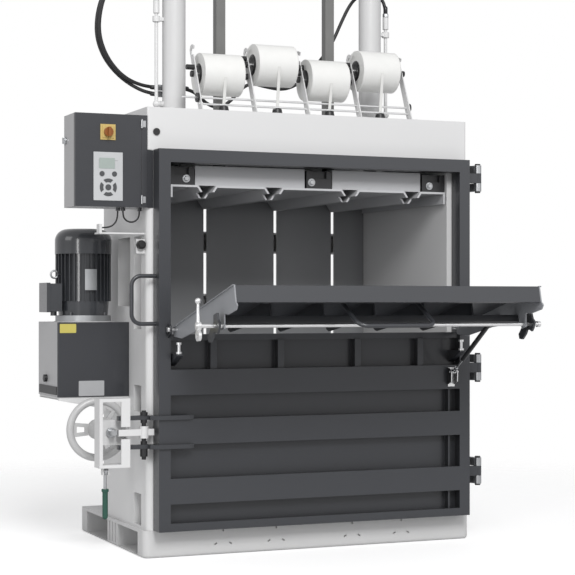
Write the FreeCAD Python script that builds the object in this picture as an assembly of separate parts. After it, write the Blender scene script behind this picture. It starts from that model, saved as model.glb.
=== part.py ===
import FreeCAD, Part
import math
import os

from FreeCAD import Vector

os.makedirs("parts", exist_ok=True)

# ---------------------------------------------------------------- driving sizes, millimetres
body_width = 1334.0
body_depth = 810.0
base_height = 103.0
chamber_height = 1401.0      # base top to the underside of the head
head_height = 158.0
side_wall_thickness = 87.0
rear_wall_depth = 50.0
hat_height = 90.0            # ribs behind the rear wall
hat_pitch = 262.0
hat_count = 6
hat_lean = 15.0
head_wall = 10.0
head_roof = 12.0
head_hole_gap = 3.0          # round the rods and guide bars
sheet = 8.0
corner_radius = 25.0
touch_gap = 0.3              # between pieces of different bodies
running_fit = 0.05           # radial, on pins, rods and shafts

# base frame and fork pockets
base_overhang = 14.0         # beyond the side walls
base_edge_radius = 12.0
pocket_margin = 72.0         # from the front or back of the base to a pocket
web_setback = 320.0
pocket_web = 134.0
pocket_floor = 8.0
pocket_roof = 12.0
web_grooves = 3
web_groove_width = 16.0
web_groove_pitch = 38.0
web_groove_depth = 5.0
mark_columns = (-369.0, -154.0, 165.0, 377.0)
mark_height = 58.0
mark_reach = 34.0
mark_length = 12.0
mark_width = 5.0

# straps
strap_columns = (-430.0, -160.0, 160.0, 430.0)
strap_slot = 14.0
floor_thickness = 25.0
floor_groove = 30.0

# side walls: cells behind the body's front, openings above the base
double_wall_depth = 540.0
post_cell = (8.0, 64.0)
slot_cell = (72.0, 160.0)
rib_cell = (168.0, 198.0)
window_cell = (206.0, 358.0)
strip_cell = (366.0, 456.0)
back_cell = (464.0, 532.0)
slot_rises = ((10.0, 127.0), (432.0, 530.0), (740.0, 1086.0))
window_rises = (825.0, 1086.0)
sensor_rise = 1052.0
sensor_reach = 17.0
sensor_radius = 16.5
sensor_setback = 100.0       # behind the door's front
sensor_plate = (33.0, 4.0, 53.0)
sensor_length = 16.0
sensor_nose = 6.0
sensor_nose_radius = 10.5

# door
door_inset = 22.0            # side of the door from the side of the body
door_height = 1400.0
door_thickness = 66.0
door_gap = 4.0
door_floor_gap = 1.0
stile_width = 45.0
top_rail = 49.0
bottom_rail = 30.0
band_height = 94.0
band_rises = (101.0, 319.0, 500.0)
door_skin = 6.0
recess_depth = 40.0
sill_height = 22.0
strap_rib_width = 25.0
brace_inset = 45.0
brace_setback = 12.0         # behind the door's front
sill_drop = 18.0             # below the flap's axis
sill_setback = 14.0
strap_rib_setback = 8.0

# hinges of the door
hinge_rises = (171.0, 581.0, 1332.0)
hinge_offset = 34.0          # axis beyond the side of the body
hinge_setback = 37.0         # axis behind the door's front
barrel_radius = 15.0
barrel_length = 32.0
knuckle_length = 38.0
hinge_pin_radius = 7.0
cap_height = 6.0
cap_radius = 11.0
hinge_axial_gap = 0.5
knuckle_lug_half = 12.0
hinge_leaf = (10.0, 62.0)    # behind the body's front
hinge_leaf_thickness = 8.0
hinge_wrap = 10.0            # bracket round the barrel
hinge_wrap_front = 4.0
hinge_wrap_inset = 6.0

# D handle
bar_radius = 7.5
handle_reach = 93.0
handle_rise = 936.0
handle_length = 175.0
handle_bend = 36.0

# filling flap
flap_incline = 13.9
flap_side_gap = 15.0         # panel to the door's stile
flap_reach = 613.0
flap_axis_rise = 740.0
flap_axis_front = 15.0       # in front of the door
flap_rise = 10.0             # inner face above the hinge axis
flap_skin = 5.0
flap_rail_depth = 58.0
flap_lip = 16.0
flap_lip_depth = 4.0
flap_start = 10.0            # edge of the skin from the hinge
flap_rib_columns = (-396.0, -198.0, 0.0, 198.0, 396.0)
flap_rib_half = 3.0
flap_rib_start = 40.0
flap_rib_heel = 12.0
flap_rib_knee = (60.0, 24.0)
grip_rail_at = 424.0
grip_rail_size = 26.0
grip_rail_drop = 56.0
cheek_thickness = 5.0
cheek_heel = 16.0            # behind the hinge
cheek_rise = 12.0
cheek_lip_width = 6.0
cheek_lip_depth = 3.0
cheek_nose = ((0.0, 48.0), (6.0, 54.0), (10.0, 62.0), (-4.0, 74.0))     # beyond the flap's reach, and down
cheek_tab = ((60.0, 72.0), (26.0, 62.0), (20.0, 86.0))       # beyond the latch rod, and down
cheek_tab_half = 14.0
cheek_tab_foot = 13.0
cheek_tab_back = (-19.0, 86.0)
cheek_belly = ((250.0, 56.0), (60.0, 46.0), (-16.0, 22.0))   # from the hinge, and down
flap_pin_radius = 6.0
flap_pin_inset = 24.0
flap_pin_head = 4.0          # wider than the pin
flap_pin_head_length = 8.0
flap_lug_inset = 4.0         # from the stile's inner side
flap_lug_thickness = 8.0
flap_lug_drop = 30.0
flap_lug_lift = 24.0
flap_lug_radius = 14.0
flap_lug_round = 8.0
stop_front = 41.0            # stop bolts in front of the door
stop_drop = 88.0             # their ledges below the flap's axis
stop_inset = 2.0
stop_nut = (11.0, 8.0)       # radius and height
stop_bolt = (6.0, 42.0)
stop_head_radius = 10.0
ledge_overhang = 14.0
ledge_edge = 6.0
ledge_web = 46.0
ledge_half = 12.0
flap_handle_span = 294.0
flap_handle_foot = 472.0
flap_handle_grip = 619.0
flap_handle_drop = 133.0
handle_trim = 40.0

# latch on the flap
latch_rod_radius = 7.0
latch_at = 476.0
latch_drop = 97.0
latch_rod_overhang = 10.0    # beyond the door's side
latch_lever_offset = 31.0
latch_rod_tail = 10.0        # beyond the lever
latch_cap_radius = 11.0
latch_cap_length = 12.0
claw_gap = 8.0
claw_outline = ((-8.0, -40.0), (24.0, -40.0), (28.0, -14.0), (40.0, 0.0), (26.0, 20.0), (12.0, 30.0),
                (2.0, 22.0),
                (-18.0, 18.0), (-30.0, 30.0), (-58.0, 44.0), (-76.0, 38.0), (-78.0, 20.0), (-40.0, -6.0),
                (-14.0, -14.0))
latch_hub_radius = 15.0
latch_hub_half = 7.0
lever_ball_place = (18.0, 82.0)
lever_stem_radii = (8.0, 5.0)
lever_ring_place = (6.0, 32.0)
lever_ring_radius = 19.0
lever_ring_half = 5.0
lever_ring_hole = 7.0
claw_thickness = 8.0
lever_ball_radius = 11.0

# gas strut
strut_inset = 25.0           # from the side of the flap panel
strut_low_front = 22.0
strut_low_drop = 172.0        # below the flap's hinge
strut_high_reach = 315.0
strut_high_drop = 37.0
strut_tube_radius = 9.0
strut_rod_radius = 4.0
strut_tube_length = 285.0
strut_eye_radius = 9.0
strut_pin_radius = 4.0
strut_eye_half = 8.0
strut_eye_overlap = 4.0
strut_bore_end = 12.0        # closed end of the tube
strut_rod_gap = 14.0
strut_neck = (7.0, 30.0)     # radius and length
clevis_half = 15.0
clevis_sheet = 4.0
clevis_rise = 16.0
clevis_drop = 58.0
clevis_pin_half = 20.0
clevis_outline = (12.0, 10.0, 8.0, 38.0, 52.0)    # shoulder, nose, toe, heel and foot

# door lock
lock_offset = 139.0          # beyond the side of the body
lock_rise = 366.0
lock_front = 20.0            # frame front behind the door's front
lock_frame_width = 116.0
lock_frame_height = 251.0
lock_frame_depth = 64.0
lock_left_stile = 13.0
lock_right_stile = 34.0
lock_rail = 12.0
lock_inner_stile = 10.0
lock_face = 8.0
bearing_depth = 12.0
bearing_half = 46.0
bearing_tail = 26.0
lock_arm_spread = 106.0
lock_arm_thickness = 16.0
lock_arm_depth = 22.0
lock_arm_setback = 10.0      # behind the lock frame's front
lock_arm_shoulder = 30.0     # beyond the door's side
lock_arm_proud = 10.0        # in front of the door
lock_arm_ends = (90.0, 70.0)      # taper on the middle band
lock_arm_chamfer = (6.0, 12.0)
lock_arm_grip = 42.0         # length of an arm inside the lock frame
lock_pin_offset = 23.0
lock_pin_radius = 8.0
wheel_radius = 120.0
wheel_rim = 14.0
wheel_setback = 238.0
spindle_radius = 11.0
hub_radius = 24.0
hub_length = 62.0
hub_nose_radius = 22.0
hub_disc_radius = 38.0
hub_disc = (8.0, 10.0)       # before and behind the wheel's middle
spoke_turns = (60, 180, 300)
spoke_thickness = 10.0
spoke_halves = (20.0, 28.0)
spoke_slot_insets = (26.0, 24.0)
spoke_slot_halves = (9.0, 12.0)
spindle_tail = 4.0
thrust_gap = 0.5
thrust_collar_radius = 18.0
thrust_collar_length = 8.0
end_washer_radius = 20.0
end_washer_thickness = 5.0
clamp_bar_size = 24.0
clamp_bar_room = 10.0
clamp_door_gap = 9.0
clamp_spindle_gap = 6.0
clamp_boss_rim = 10.0
lock_pin_ends = (100.0, 79.0)     # below and above the spindle
lock_nut_radii = (14.0, 12.0)
lock_nut_height = 12.0
low_nut_height = 28.0

# hanging lever
lever_offset = 28.0          # beyond the lock's middle
lever_rod_radius = 6.0
lever_length = 163.0
lever_grip_radius = 10.0
lever_grip_length = 100.0
lever_fork_half = 8.0
lever_fork_sheet = 4.0
lever_pin_radius = 4.0
lever_pin_drop = 14.0
lever_eye_radius = 12.0
lever_setback = 30.0         # behind the lock frame's front
grip_collar_radius = 13.0
grip_collar_height = 10.0

# cabinet
cabinet_width = 273.0
cabinet_depth = 148.0
cabinet_rise = 1188.0
cabinet_height = 338.0
cabinet_sheet = 3.0
cabinet_door_depth = 18.0
cabinet_strip = 21.0
cabinet_rim = 14.0
cabinet_seam = 1.0
cabinet_pin_radius = 4.0
cabinet_pin_length = 32.0
cabinet_hinge_rises = (12.0, 290.0)
cabinet_leaf_inset = 6.0
cabinet_leaf_sheet = 2.0
cabinet_leaf_margin = 4.0
lock_disc_radius = 13.0
lock_disc_thickness = 6.0
lock_key = (8.0, 6.0, 22.0)
cabinet_lock_setback = 122.0
cabinet_lock_rise = 245.0
switch_offset = (122.0, 271.0)   # from the cabinet's lower left corner
switch_plate_size = 57.0
switch_plate_depth = 4.0
switch_boss_margin = 7.0
switch_boss_depth = 3.0
switch_knob_radius = 17.0
switch_base_depth = 10.0
switch_grip_half = 5.0
switch_grip_depth = 13.0
switch_grip_root = 1.0
keypad_offset = (123.0, 110.0)
keypad_size = (110.0, 176.0)
keypad_depth = 3.0
display_size = (74.0, 29.0)
display_recess = 1.5
glass_thickness = 0.5
display_lift = 44.0
round_key_radius = 9.5
round_key_spread = 47.0
round_key_lift = 9.0
arrow_ring_center = -40.0
arrow_ring_outer = 32.0
arrow_ring_inner = 19.0
arrow_gap = 12.0
center_key_radius = 11.0
key_raise = 1.6

# cables under the cabinet and their bracket
gland_offsets = (172.0, 192.0, 255.0)
gland_radius = 9.0
gland_length = 12.0
cable_setback = 22.0         # behind the cabinet's door
cable_end_drop = 13.0
bracket_drop = 62.0
bracket_reach = 174.0
bracket_flange = 10.0
bracket_height = 36.0
bracket_sheet = 6.0
bracket_bed = (-6.0, 50.0)
bracket_end = (-12.0, 24.0)

# black plug of the head and drain plug of the tank
plug_inset = 35.0
plug_rise = 67.0
plug_radius = 13.0
plug_height = 5.0
drain_setback = 157.0
drain_rise = 66.0
drain_radius = 14.0
drain_length = 12.0
tank_strip_depth = 3.0            # dark strip on the tank's side
tank_strip_insets = (10.0, 23.0)
tank_strip_rises = (8.0, 39.0)

# power unit
tank_width = 278.0
tank_front_setback = 290.0
tank_depth = 283.0
tank_rise = 485.0
tank_height = 280.0
tank_cover = 6.0
shelf_thickness = 6.0
shelf_drop = 65.0            # height of its webs at the side wall
shelf_nose = 12.0
shelf_margin = 4.0
shelf_back_margin = 10.0
tank_edge_radius = 6.0
cover_edge_radius = 4.0
motor_rim = 3.0
motor_rim_radii = (112.0, 110.0)
motor_setback = 431.0
motor_flange_radius = 106.0
motor_flange = 22.0
motor_bell = 54.0
motor_bell_radii = (94.0, 98.0)
motor_body_radius = 92.0
motor_fin_radius = 106.0
motor_body_height = 180.0
motor_cowl_height = 96.0
motor_cowl_radius = 108.0
motor_cowl_round = 46.0
fin_count = 32
fin_thickness = 3.0
fin_root = 4.0
motor_bolt_turns = (45, 135, 225, 315)
motor_bolt_radius = 9.0
motor_bolt_height = 12.0
eye_ring_radii = (14.0, 3.5)
eye_ring_reach = 13.0
eye_ring_offset = 20.0
eye_ring_rise = 178.0
eye_shank_radius = 5.0
eye_shank_span = (12.0, 2.0)
box_size = (60.0, 108.0, 106.0)
box_rise = 37.0              # above the motor's foot
box_gap = 6.0
box_lid = 14.0
box_lid_rim = 3.0
box_gland_radius = 12.0
box_gland_length = 16.0
box_gland_place = (24.0, 20.0)

# cylinders and guides
cylinder_spacing = 858.0
cylinder_setback = 387.0     # behind the body's front
cylinder_radius = 46.0
cylinder_bore = 38.0
cylinder_height = 1336.0
cylinder_flange = 22.0
cylinder_flange_radius = 74.0
gland_height = 30.0
cylinder_cap = 35.0
cylinder_cap_rim = 6.0
piston_top_gap = 3.0
rod_radius = 27.5
piston_height = 60.0
guide_spacing = 476.0
guide_size = 38.0
guide_length = 1254.0
bush_size = 84.0
bush_height = 30.0

# ram
plate_rise = 1276.0
plate_side_gap = 5.0
plate_front_gap = 5.0
plate_rear_gap = 10.0
plate_sheet = 8.0
channel_half = 35.5
channel_foot = 6.0
flange_drop = 45.0
edge_drop = 47.0
front_notch_length = 55.0
front_notch_drop = 25.0
girder_height = 80.0
girder_depth = 120.0
front_rib_setback = 40.0     # upright ribs on the plate, behind the shoes
rear_rib_setback = 110.0     # in front of the rear wall
rib_drop = 20.0              # below the girder's top
front_panel_height = 74.0
front_panel_setback = 22.0
front_panel_gap = 5.0        # from a guide shoe
shoe_width = 100.0
shoe_overhang = 3.0          # beyond the plate
middle_shoe = (-21.0, 85.0)
shoe_proud = 6.0             # in front of the front panels
shoe_recess_margin = 22.0
shoe_recess_depth = 12.0
shoe_recess_rise = 40.0
shoe_depth = 62.0
shoe_height = 68.0

# strap rolls
roll_offset = 99.0           # middle of a roll from the arm at its left
roll_axle_rises = (48.0, 95.0, 48.0, 95.0)   # above a roll that just clears the head
roll_setback = 125.0         # axle behind the body's front
roll_clearance = 20.0        # lowest roll above the head
roll_radius = 80.0
roll_width = 162.0
roll_bore = 31.0
arm_spacing = 220.0
arm_count = 5
arm_thickness = 4.0
arm_width = 40.0
arm_foot_setback = 46.0
arm_top_setback = 148.0
arm_height = 243.0
arm_foot_length = 46.0
notch_turn = 35.0            # of an axle notch from level, degrees
hook_drop = 20.0             # throat of an arm's hook below its top
hook_outline = ((12.0, 16.0), (-4.0, 20.0), (-26.0, 12.0), (-20.0, 0.0), (-2.0, 6.0), (6.0, -6.0))
axle_radius = 8.0
axle_overhang = 6.0
knob_radius = 12.0
knob_length = 9.0
arm_knob_length = 31.0
arm_knob_radius = 10.0
arm_knob_lift = 24.0         # above the axle
collar_radius = 12.0
cross_rod_radius = 4.0
cross_rod_rises = (52.0, 27.0)
cross_rod_setbacks = (2.0, 1.0)   # behind the arms' middle line
high_rod_ends = (68.0, 10.0)      # beyond the first and the last arm
low_rod_end = 6.0
mandrel_overhang = 4.0
disc_radius = 18.0
disc_thickness = 8.0
tail_width = 12.0
tail_thickness = 1.2
inlet_radius = 22.0
inlet_bore = 12.0
inlet_height = 22.0
inlet_taper = 5.0
inlet_setback = 68.0

# pipes and hoses
pipe_radius = 7.0
pipe_offset = 73.0           # beyond the cylinder's axis
pipe_height = 466.0
pipe_clamp_drop = 80.0
fitting_radius = 12.0
fitting_length = 50.0
elbow_radius = 14.0
link_radius = 10.0
pipe_collar_radius = 15.0
pipe_collar_span = (-4.0, 18.0)   # from the foot of the clamp
pipe_clamp_half = 10.0
pipe_clamp_height = 14.0
port_reach = 58.0
port_height = 60.0
top_port_drop = 60.0
top_port_reach = 95.0
top_elbow_drop = 40.0
top_port_length = 70.0
manifold_reach = (-33.0, -4.0)    # out from the left cylinder's axis
manifold_depth = 50.0
manifold_height = 163.0
hose_behind = 108.0          # hose ports behind the cylinders
stub_length = 20.0
left_port_rises = (139.0, 113.0)
right_port_rise = 141.0
hose_radius = 7.0
cable_radius = 3.0

# ---------------------------------------------------------------- derived planes
half_body = body_width / 2
half_base = half_body + base_overhang
half_chamber = half_body - side_wall_thickness
body_front = -body_depth / 2
body_back = body_depth / 2
rear_inner = body_back - rear_wall_depth
chamber_top = base_height + chamber_height
head_top = chamber_top + head_height
pocket_spans = ((body_front + pocket_margin, body_front + web_setback),
                (body_front + web_setback + pocket_web, body_back - pocket_margin))
slot_heights = [(base_height + low, base_height + high) for low, high in slot_rises]
window_heights = [base_height + rise for rise in window_rises]
sensor_height = base_height + sensor_rise
band_bottoms = [base_height + rise for rise in band_rises]
hinge_heights = [base_height + rise for rise in hinge_rises]
handle_top = base_height + handle_rise
flap_axis_height = base_height + flap_axis_rise
strut_low_height = flap_axis_height - strut_low_drop
stop_ledge_top = flap_axis_height - stop_drop
lock_height = base_height + lock_rise
cabinet_bottom = base_height + cabinet_rise
tank_bottom = base_height + tank_rise
plate_top = base_height + plate_rise
door_back = body_front - door_gap
door_front = door_back - door_thickness
door_bottom = base_height + door_floor_gap
door_top = door_bottom + door_height
half_door = half_body - door_inset
inner_half = half_door - stile_width
flap_half_width = inner_half - flap_side_gap
latch_rod_half = half_door + latch_rod_overhang
latch_lever_x = half_door + latch_lever_offset
strut_x = flap_half_width - strut_inset
lock_x = half_body + lock_offset
lock_pin_x = half_body + lock_pin_offset
lever_x = lock_x + lever_offset
plate_half = half_chamber - plate_side_gap
shoe_spans = ((-plate_half - shoe_overhang, -plate_half - shoe_overhang + shoe_width), middle_shoe,
              (plate_half + shoe_overhang - shoe_width, plate_half + shoe_overhang))
front_panel_spans = [(before[1] + front_panel_gap, after[0] - front_panel_gap)
                     for before, after in zip(shoe_spans, shoe_spans[1:])]
hinge_x = half_body + hinge_offset
hinge_y = door_front + hinge_setback
flap_y = door_front - flap_axis_front
cylinder_y = body_front + cylinder_setback
roll_y = body_front + roll_setback
ram_top = plate_top + girder_height
cabinet_left = -half_body - cabinet_width
switch_center = (cabinet_left + switch_offset[0], cabinet_bottom + switch_offset[1])
keypad_center = (cabinet_left + keypad_offset[0], cabinet_bottom + keypad_offset[1])
lock_arm_reach = lock_x - lock_frame_width / 2 + lock_arm_grip
motor_x = half_body + tank_width / 2
arm_columns = [arm_spacing * (index - (arm_count - 1) / 2) for index in range(arm_count)]
roll_columns = [column + roll_offset for column in arm_columns[:-1]]
roll_axle_heights = [head_top + roll_radius + roll_clearance + rise for rise in roll_axle_rises]
arm_top = head_top + arm_height
pipe_x = cylinder_spacing / 2 + pipe_offset
pipe_top = head_top + pipe_height
pipe_mouth_left = (-pipe_x, cylinder_y, pipe_top)
pipe_mouth_right = (pipe_x, cylinder_y, pipe_top)
manifold_right, manifold_left = [-cylinder_spacing / 2 - reach for reach in manifold_reach]
stub_left = manifold_left - stub_length
stub_right = manifold_right + stub_length
hose_y = cylinder_y + hose_behind
top_elbow_y = cylinder_y + top_port_reach
top_elbow_z = head_top + cylinder_height - top_port_drop
gland_columns = [cabinet_left + offset for offset in gland_offsets]
cable_y = body_front + cabinet_door_depth + cable_setback
cable_start = cabinet_bottom - gland_length
bracket_top = cabinet_bottom - bracket_drop
bracket_left = -half_body - bracket_reach
cable_end = bracket_left + bracket_flange
cable_low = bracket_top - cable_end_drop


# ---------------------------------------------------------------- shape helpers
def box(x0, x1, y0, y1, z0, z1):
    return Part.makeBox(x1 - x0, y1 - y0, z1 - z0, Vector(x0, y0, z0))


def rod(radius, start, end):
    start = Vector(*start)
    span = Vector(*end) - start
    return Part.makeCylinder(radius, span.Length, start, span)


def cone(radius_start, radius_end, start, end):
    start = Vector(*start)
    span = Vector(*end) - start
    return Part.makeCone(radius_start, radius_end, span.Length, start, span)


def face_of(points):
    corners = [Vector(*point) for point in points]
    return Part.Face(Part.makePolygon(corners + corners[:1]))


def along_x(outline, x0, x1):
    """Solid with the outline given as (y, z) between two x planes."""
    return face_of([(x0, y, z) for y, z in outline]).extrude(Vector(x1 - x0, 0, 0))


def along_y(outline, y0, y1):
    """Solid with the outline given as (x, z) between two y planes."""
    return face_of([(x, y0, z) for x, z in outline]).extrude(Vector(0, y1 - y0, 0))


def along_z(outline, z0, z1):
    """Solid with the outline given as (x, y) between two z planes."""
    return face_of([(x, y, z0) for x, y in outline]).extrude(Vector(0, 0, z1 - z0))


def joined(shapes):
    whole = shapes[0].multiFuse(shapes[1:]) if len(shapes) > 1 else shapes[0]
    return whole.removeSplitter()


def group(shapes):
    return Part.makeCompound(shapes)


def mirrored(shape):
    return shape.mirror(Vector(0, 0, 0), Vector(1, 0, 0))


def upright_edges(shape, x, y):
    """Vertical edges of the shape at the given plan position."""
    found = []
    for edge in shape.Edges:
        ends = edge.Vertexes
        same = all(abs(v.X - x) < 0.01 and abs(v.Y - y) < 0.01 for v in ends)
        if same and len(ends) == 2:
            found.append(edge)
    return found


def bend_radii(points, share=0.45):
    """Arc radius at each inner point of a route, from its shorter run and the tangent of half the turn."""
    route = [Vector(*point) for point in points]
    radii = []
    for before, here, after in zip(route, route[1:], route[2:]):
        turn = (here - before).getAngle(after - here)
        shorter = min((here - before).Length, (after - here).Length)
        radii.append(share * shorter / math.tan(turn / 2))
    return radii


def route_wire(points, radii):
    """Straight runs joined by tangent arcs."""
    route = [Vector(*point) for point in points]
    edges = []
    cursor = route[0]
    for before, here, after, radius in zip(route, route[1:], route[2:], radii):
        arrive = (here - before).normalize()
        leave = (after - here).normalize()
        turn = arrive.getAngle(leave)
        cut = radius * math.tan(turn / 2)
        arc_start = here - arrive * cut
        arc_end = here + leave * cut
        inward = (leave - arrive).normalize()
        center = here + inward * (radius / math.cos(turn / 2))
        arc_middle = center - inward * radius
        edges.append(Part.LineSegment(cursor, arc_start).toShape())
        edges.append(Part.Arc(arc_start, arc_middle, arc_end).toShape())
        cursor = arc_end
    edges.append(Part.LineSegment(cursor, route[-1]).toShape())
    return Part.Wire(edges)


def tube_along(points, tube_radius, radii):
    path = route_wire(points, radii)
    start = Vector(*points[0])
    heading = Vector(*points[1]) - start
    ring = Part.Wire([Part.Circle(start, heading, tube_radius).toShape()])
    return path.makePipeShell([ring], True, False), path.Length


def bent_bar(points, tube_radius, bend):
    return tube_along(points, tube_radius, [bend] * (len(points) - 2))[0]


def loose_tube(name, points, tube_radius):
    radii = bend_radii(points)
    solid, length = tube_along(points, tube_radius, radii)
    section = math.pi * tube_radius ** 2
    print(name, "length", round(length), "radii", [round(r) for r in radii],
          "volume ratio", round(solid.Volume / (section * length), 4))
    return solid


def save(name, shape):
    shape.exportStep("parts/" + name + ".step")
    print(name, "solids", len(shape.Solids), "valid", shape.isValid())


# ---------------------------------------------------------------- structure
def base_frame():
    """Base with a fork pocket before and behind its grooved web, and slotted marks on its front."""
    frame = box(-half_base, half_base, body_front, body_back, 0, base_height)
    corners = upright_edges(frame, -half_base, body_front) + upright_edges(frame, half_base, body_front)
    frame = frame.makeFillet(corner_radius, corners)
    rim = [edge for edge in frame.Edges
           if edge.BoundBox.ZMax < touch_gap and edge.BoundBox.YMin < body_back - touch_gap]
    frame = frame.makeFillet(base_edge_radius, rim)
    pocket_top = base_height - pocket_roof
    for low, high in pocket_spans:
        frame = frame.cut(box(-half_base, half_base, low, high, pocket_floor, pocket_top))
    web_middle = body_front + web_setback + pocket_web / 2
    for step in range(web_grooves):
        y = web_middle + (step - (web_grooves - 1) / 2) * web_groove_pitch
        half = web_groove_width / 2
        for x in (-half_base, half_base - web_groove_depth):
            frame = frame.cut(box(x, x + web_groove_depth, y - half, y + half, 2 * pocket_floor, pocket_top))
    for x in mark_columns:
        for turn in (0, 120, 240):
            slot = box(-mark_width / 2, mark_width / 2, body_front, body_front + sheet,
                       mark_reach - mark_length / 2, mark_reach + mark_length / 2)
            slot.rotate(Vector(0, 0, 0), Vector(0, 1, 0), turn)
            slot.translate(Vector(x, 0, mark_height))
            frame = frame.cut(slot)
    return frame


def side_wall():
    """Left wall: a folded double wall with upright cells, a rounded front post and slots in its outer skin."""
    wall_back = body_front + double_wall_depth
    wall = box(-half_body, -half_chamber, body_front, wall_back, base_height, chamber_top)
    skin = box(-half_chamber - sheet, -half_chamber, body_front + corner_radius, body_back, base_height,
               chamber_top)
    wall = wall.makeFillet(corner_radius, upright_edges(wall, -half_body, body_front))
    cell_out = -half_body + sheet
    cell_in = -half_chamber - sheet
    for start, end in (post_cell, slot_cell, rib_cell, window_cell, strip_cell, back_cell):
        cell = box(cell_out, cell_in, body_front + start, body_front + end, base_height, chamber_top)
        if start == post_cell[0]:
            inner = corner_radius - sheet
            cell = cell.makeFillet(inner, upright_edges(cell, cell_out, body_front + start))
        wall = wall.cut(cell)
    openings = [(slot_cell, heights) for heights in slot_heights] + [(window_cell, window_heights)]
    for (start, end), (low, high) in openings:
        wall = wall.cut(box(-half_body, cell_out, body_front + start, body_front + end, low, high))
    return joined([wall, skin])


def sensor_bracket():
    """Small plate on the front post that carries the round sensor."""
    y = door_front + sensor_setback
    reach, thickness, height = sensor_plate
    low = sensor_height + sensor_radius + thickness - height
    return box(-half_body - reach, -half_body, y, y + thickness, low, low + height)


def rear_wall():
    """Plate with upright strap slots, backed by level hat ribs."""
    plate = box(-half_chamber, half_chamber, rear_inner, rear_inner + sheet, base_height, chamber_top)
    for x in strap_columns:
        slot_low = base_height + floor_thickness
        half = strap_slot / 2
        plate = plate.cut(box(x - half, x + half, rear_inner, rear_inner + sheet, slot_low, plate_top))
    ribs = []
    plate_back = rear_inner + sheet
    for step in range(hat_count):
        low = base_height + step * hat_pitch
        high = low + hat_height
        outline = [(plate_back, low), (body_back, low + hat_lean), (body_back, high - hat_lean),
                   (plate_back, high)]
        inside = [(plate_back, low + sheet), (body_back - sheet, low + hat_lean + sheet / 2),
                  (body_back - sheet, high - hat_lean - sheet / 2), (plate_back, high - sheet)]
        rib = along_x(outline, -half_chamber, half_chamber)
        ribs.append(rib.cut(along_x(inside, -half_chamber, half_chamber)))
    return joined([plate] + ribs)


def chamber_floor():
    top = base_height + floor_thickness
    floor = box(-half_chamber, half_chamber, body_front, rear_inner, base_height, top)
    half = floor_groove / 2
    for x in strap_columns:
        floor = floor.cut(box(x - half, x + half, body_front, rear_inner, top - half, top))
    return floor


def head_beam():
    """Tray open below, with holes for the rods, guide bars and straps."""
    head = box(-half_body, half_body, body_front, body_back, chamber_top, head_top)
    head = head.makeFillet(sheet, upright_edges(head, -half_body, body_front)
                           + upright_edges(head, half_body, body_front))
    head = head.cut(box(-half_body + head_wall, half_body - head_wall, body_front + head_wall,
                        body_back - head_wall,
                        chamber_top, head_top - head_roof))
    for side in (-1, 1):
        x = side * cylinder_spacing / 2
        head = head.cut(rod(rod_radius + head_hole_gap, (x, cylinder_y, chamber_top),
                            (x, cylinder_y, head_top)))
        half = guide_size / 2 + head_hole_gap
        x = side * guide_spacing / 2
        head = head.cut(box(x - half, x + half, cylinder_y - half, cylinder_y + half, chamber_top, head_top))
    for x in roll_columns:
        y = body_front + inlet_setback
        head = head.cut(rod(inlet_bore, (x, y, chamber_top), (x, y, head_top)))
    return head


# ---------------------------------------------------------------- hydraulics and guides
def hydraulic_cylinder(side):
    x = side * cylinder_spacing / 2
    top = head_top + cylinder_height
    cap_bottom = top - cylinder_cap
    body = joined([
        rod(cylinder_flange_radius, (x, cylinder_y, head_top), (x, cylinder_y, head_top + cylinder_flange)),
        rod(cylinder_radius, (x, cylinder_y, head_top), (x, cylinder_y, top)),
        rod(cylinder_radius + cylinder_cap_rim, (x, cylinder_y, cap_bottom), (x, cylinder_y, top)),
        rod(fitting_radius, (x, cylinder_y, head_top + port_height),
            (x + side * port_reach, cylinder_y, head_top + port_height)),
        rod(fitting_radius, (x, cylinder_y, top - top_port_drop),
            (x, cylinder_y + top_port_length, top - top_port_drop)),
    ])
    bore = rod(cylinder_bore, (x, cylinder_y, head_top + gland_height), (x, cylinder_y, cap_bottom))
    gland = rod(rod_radius + running_fit, (x, cylinder_y, head_top), (x, cylinder_y, head_top + gland_height))
    return body.cut(bore).cut(gland)


def piston_rod(side):
    x = side * cylinder_spacing / 2
    piston_top = head_top + cylinder_height - cylinder_cap - piston_top_gap
    piston_bottom = piston_top - piston_height
    shaft = rod(rod_radius, (x, cylinder_y, ram_top), (x, cylinder_y, piston_bottom))
    piston = rod(cylinder_bore - running_fit, (x, cylinder_y, piston_bottom), (x, cylinder_y, piston_top))
    return joined([shaft, piston])


def guide_bar(side):
    x = side * guide_spacing / 2
    half = guide_size / 2
    return box(x - half, x + half, cylinder_y - half, cylinder_y + half, ram_top, ram_top + guide_length)


def guide_bush(side):
    x = side * guide_spacing / 2
    half = bush_size / 2
    hole = guide_size / 2 + running_fit
    bush = box(x - half, x + half, cylinder_y - half, cylinder_y + half, head_top, head_top + bush_height)
    return bush.cut(box(x - hole, x + hole, cylinder_y - hole, cylinder_y + hole, head_top,
                        head_top + bush_height))


# ---------------------------------------------------------------- ram
def plate_panel(left, right):
    """Folded panel between two strap channels, its flanges leaning down into the channels."""
    top = plate_top
    low = plate_top - flange_drop
    lean = channel_half - channel_foot
    outline = [(left, top), (right, top), (right + lean, low), (right + lean - plate_sheet, low),
               (right - plate_sheet / 2, top - plate_sheet), (left + plate_sheet / 2, top - plate_sheet),
               (left - lean + plate_sheet, low), (left - lean, low)]
    return along_y(outline, body_front + plate_front_gap, rear_inner - plate_rear_gap)


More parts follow.
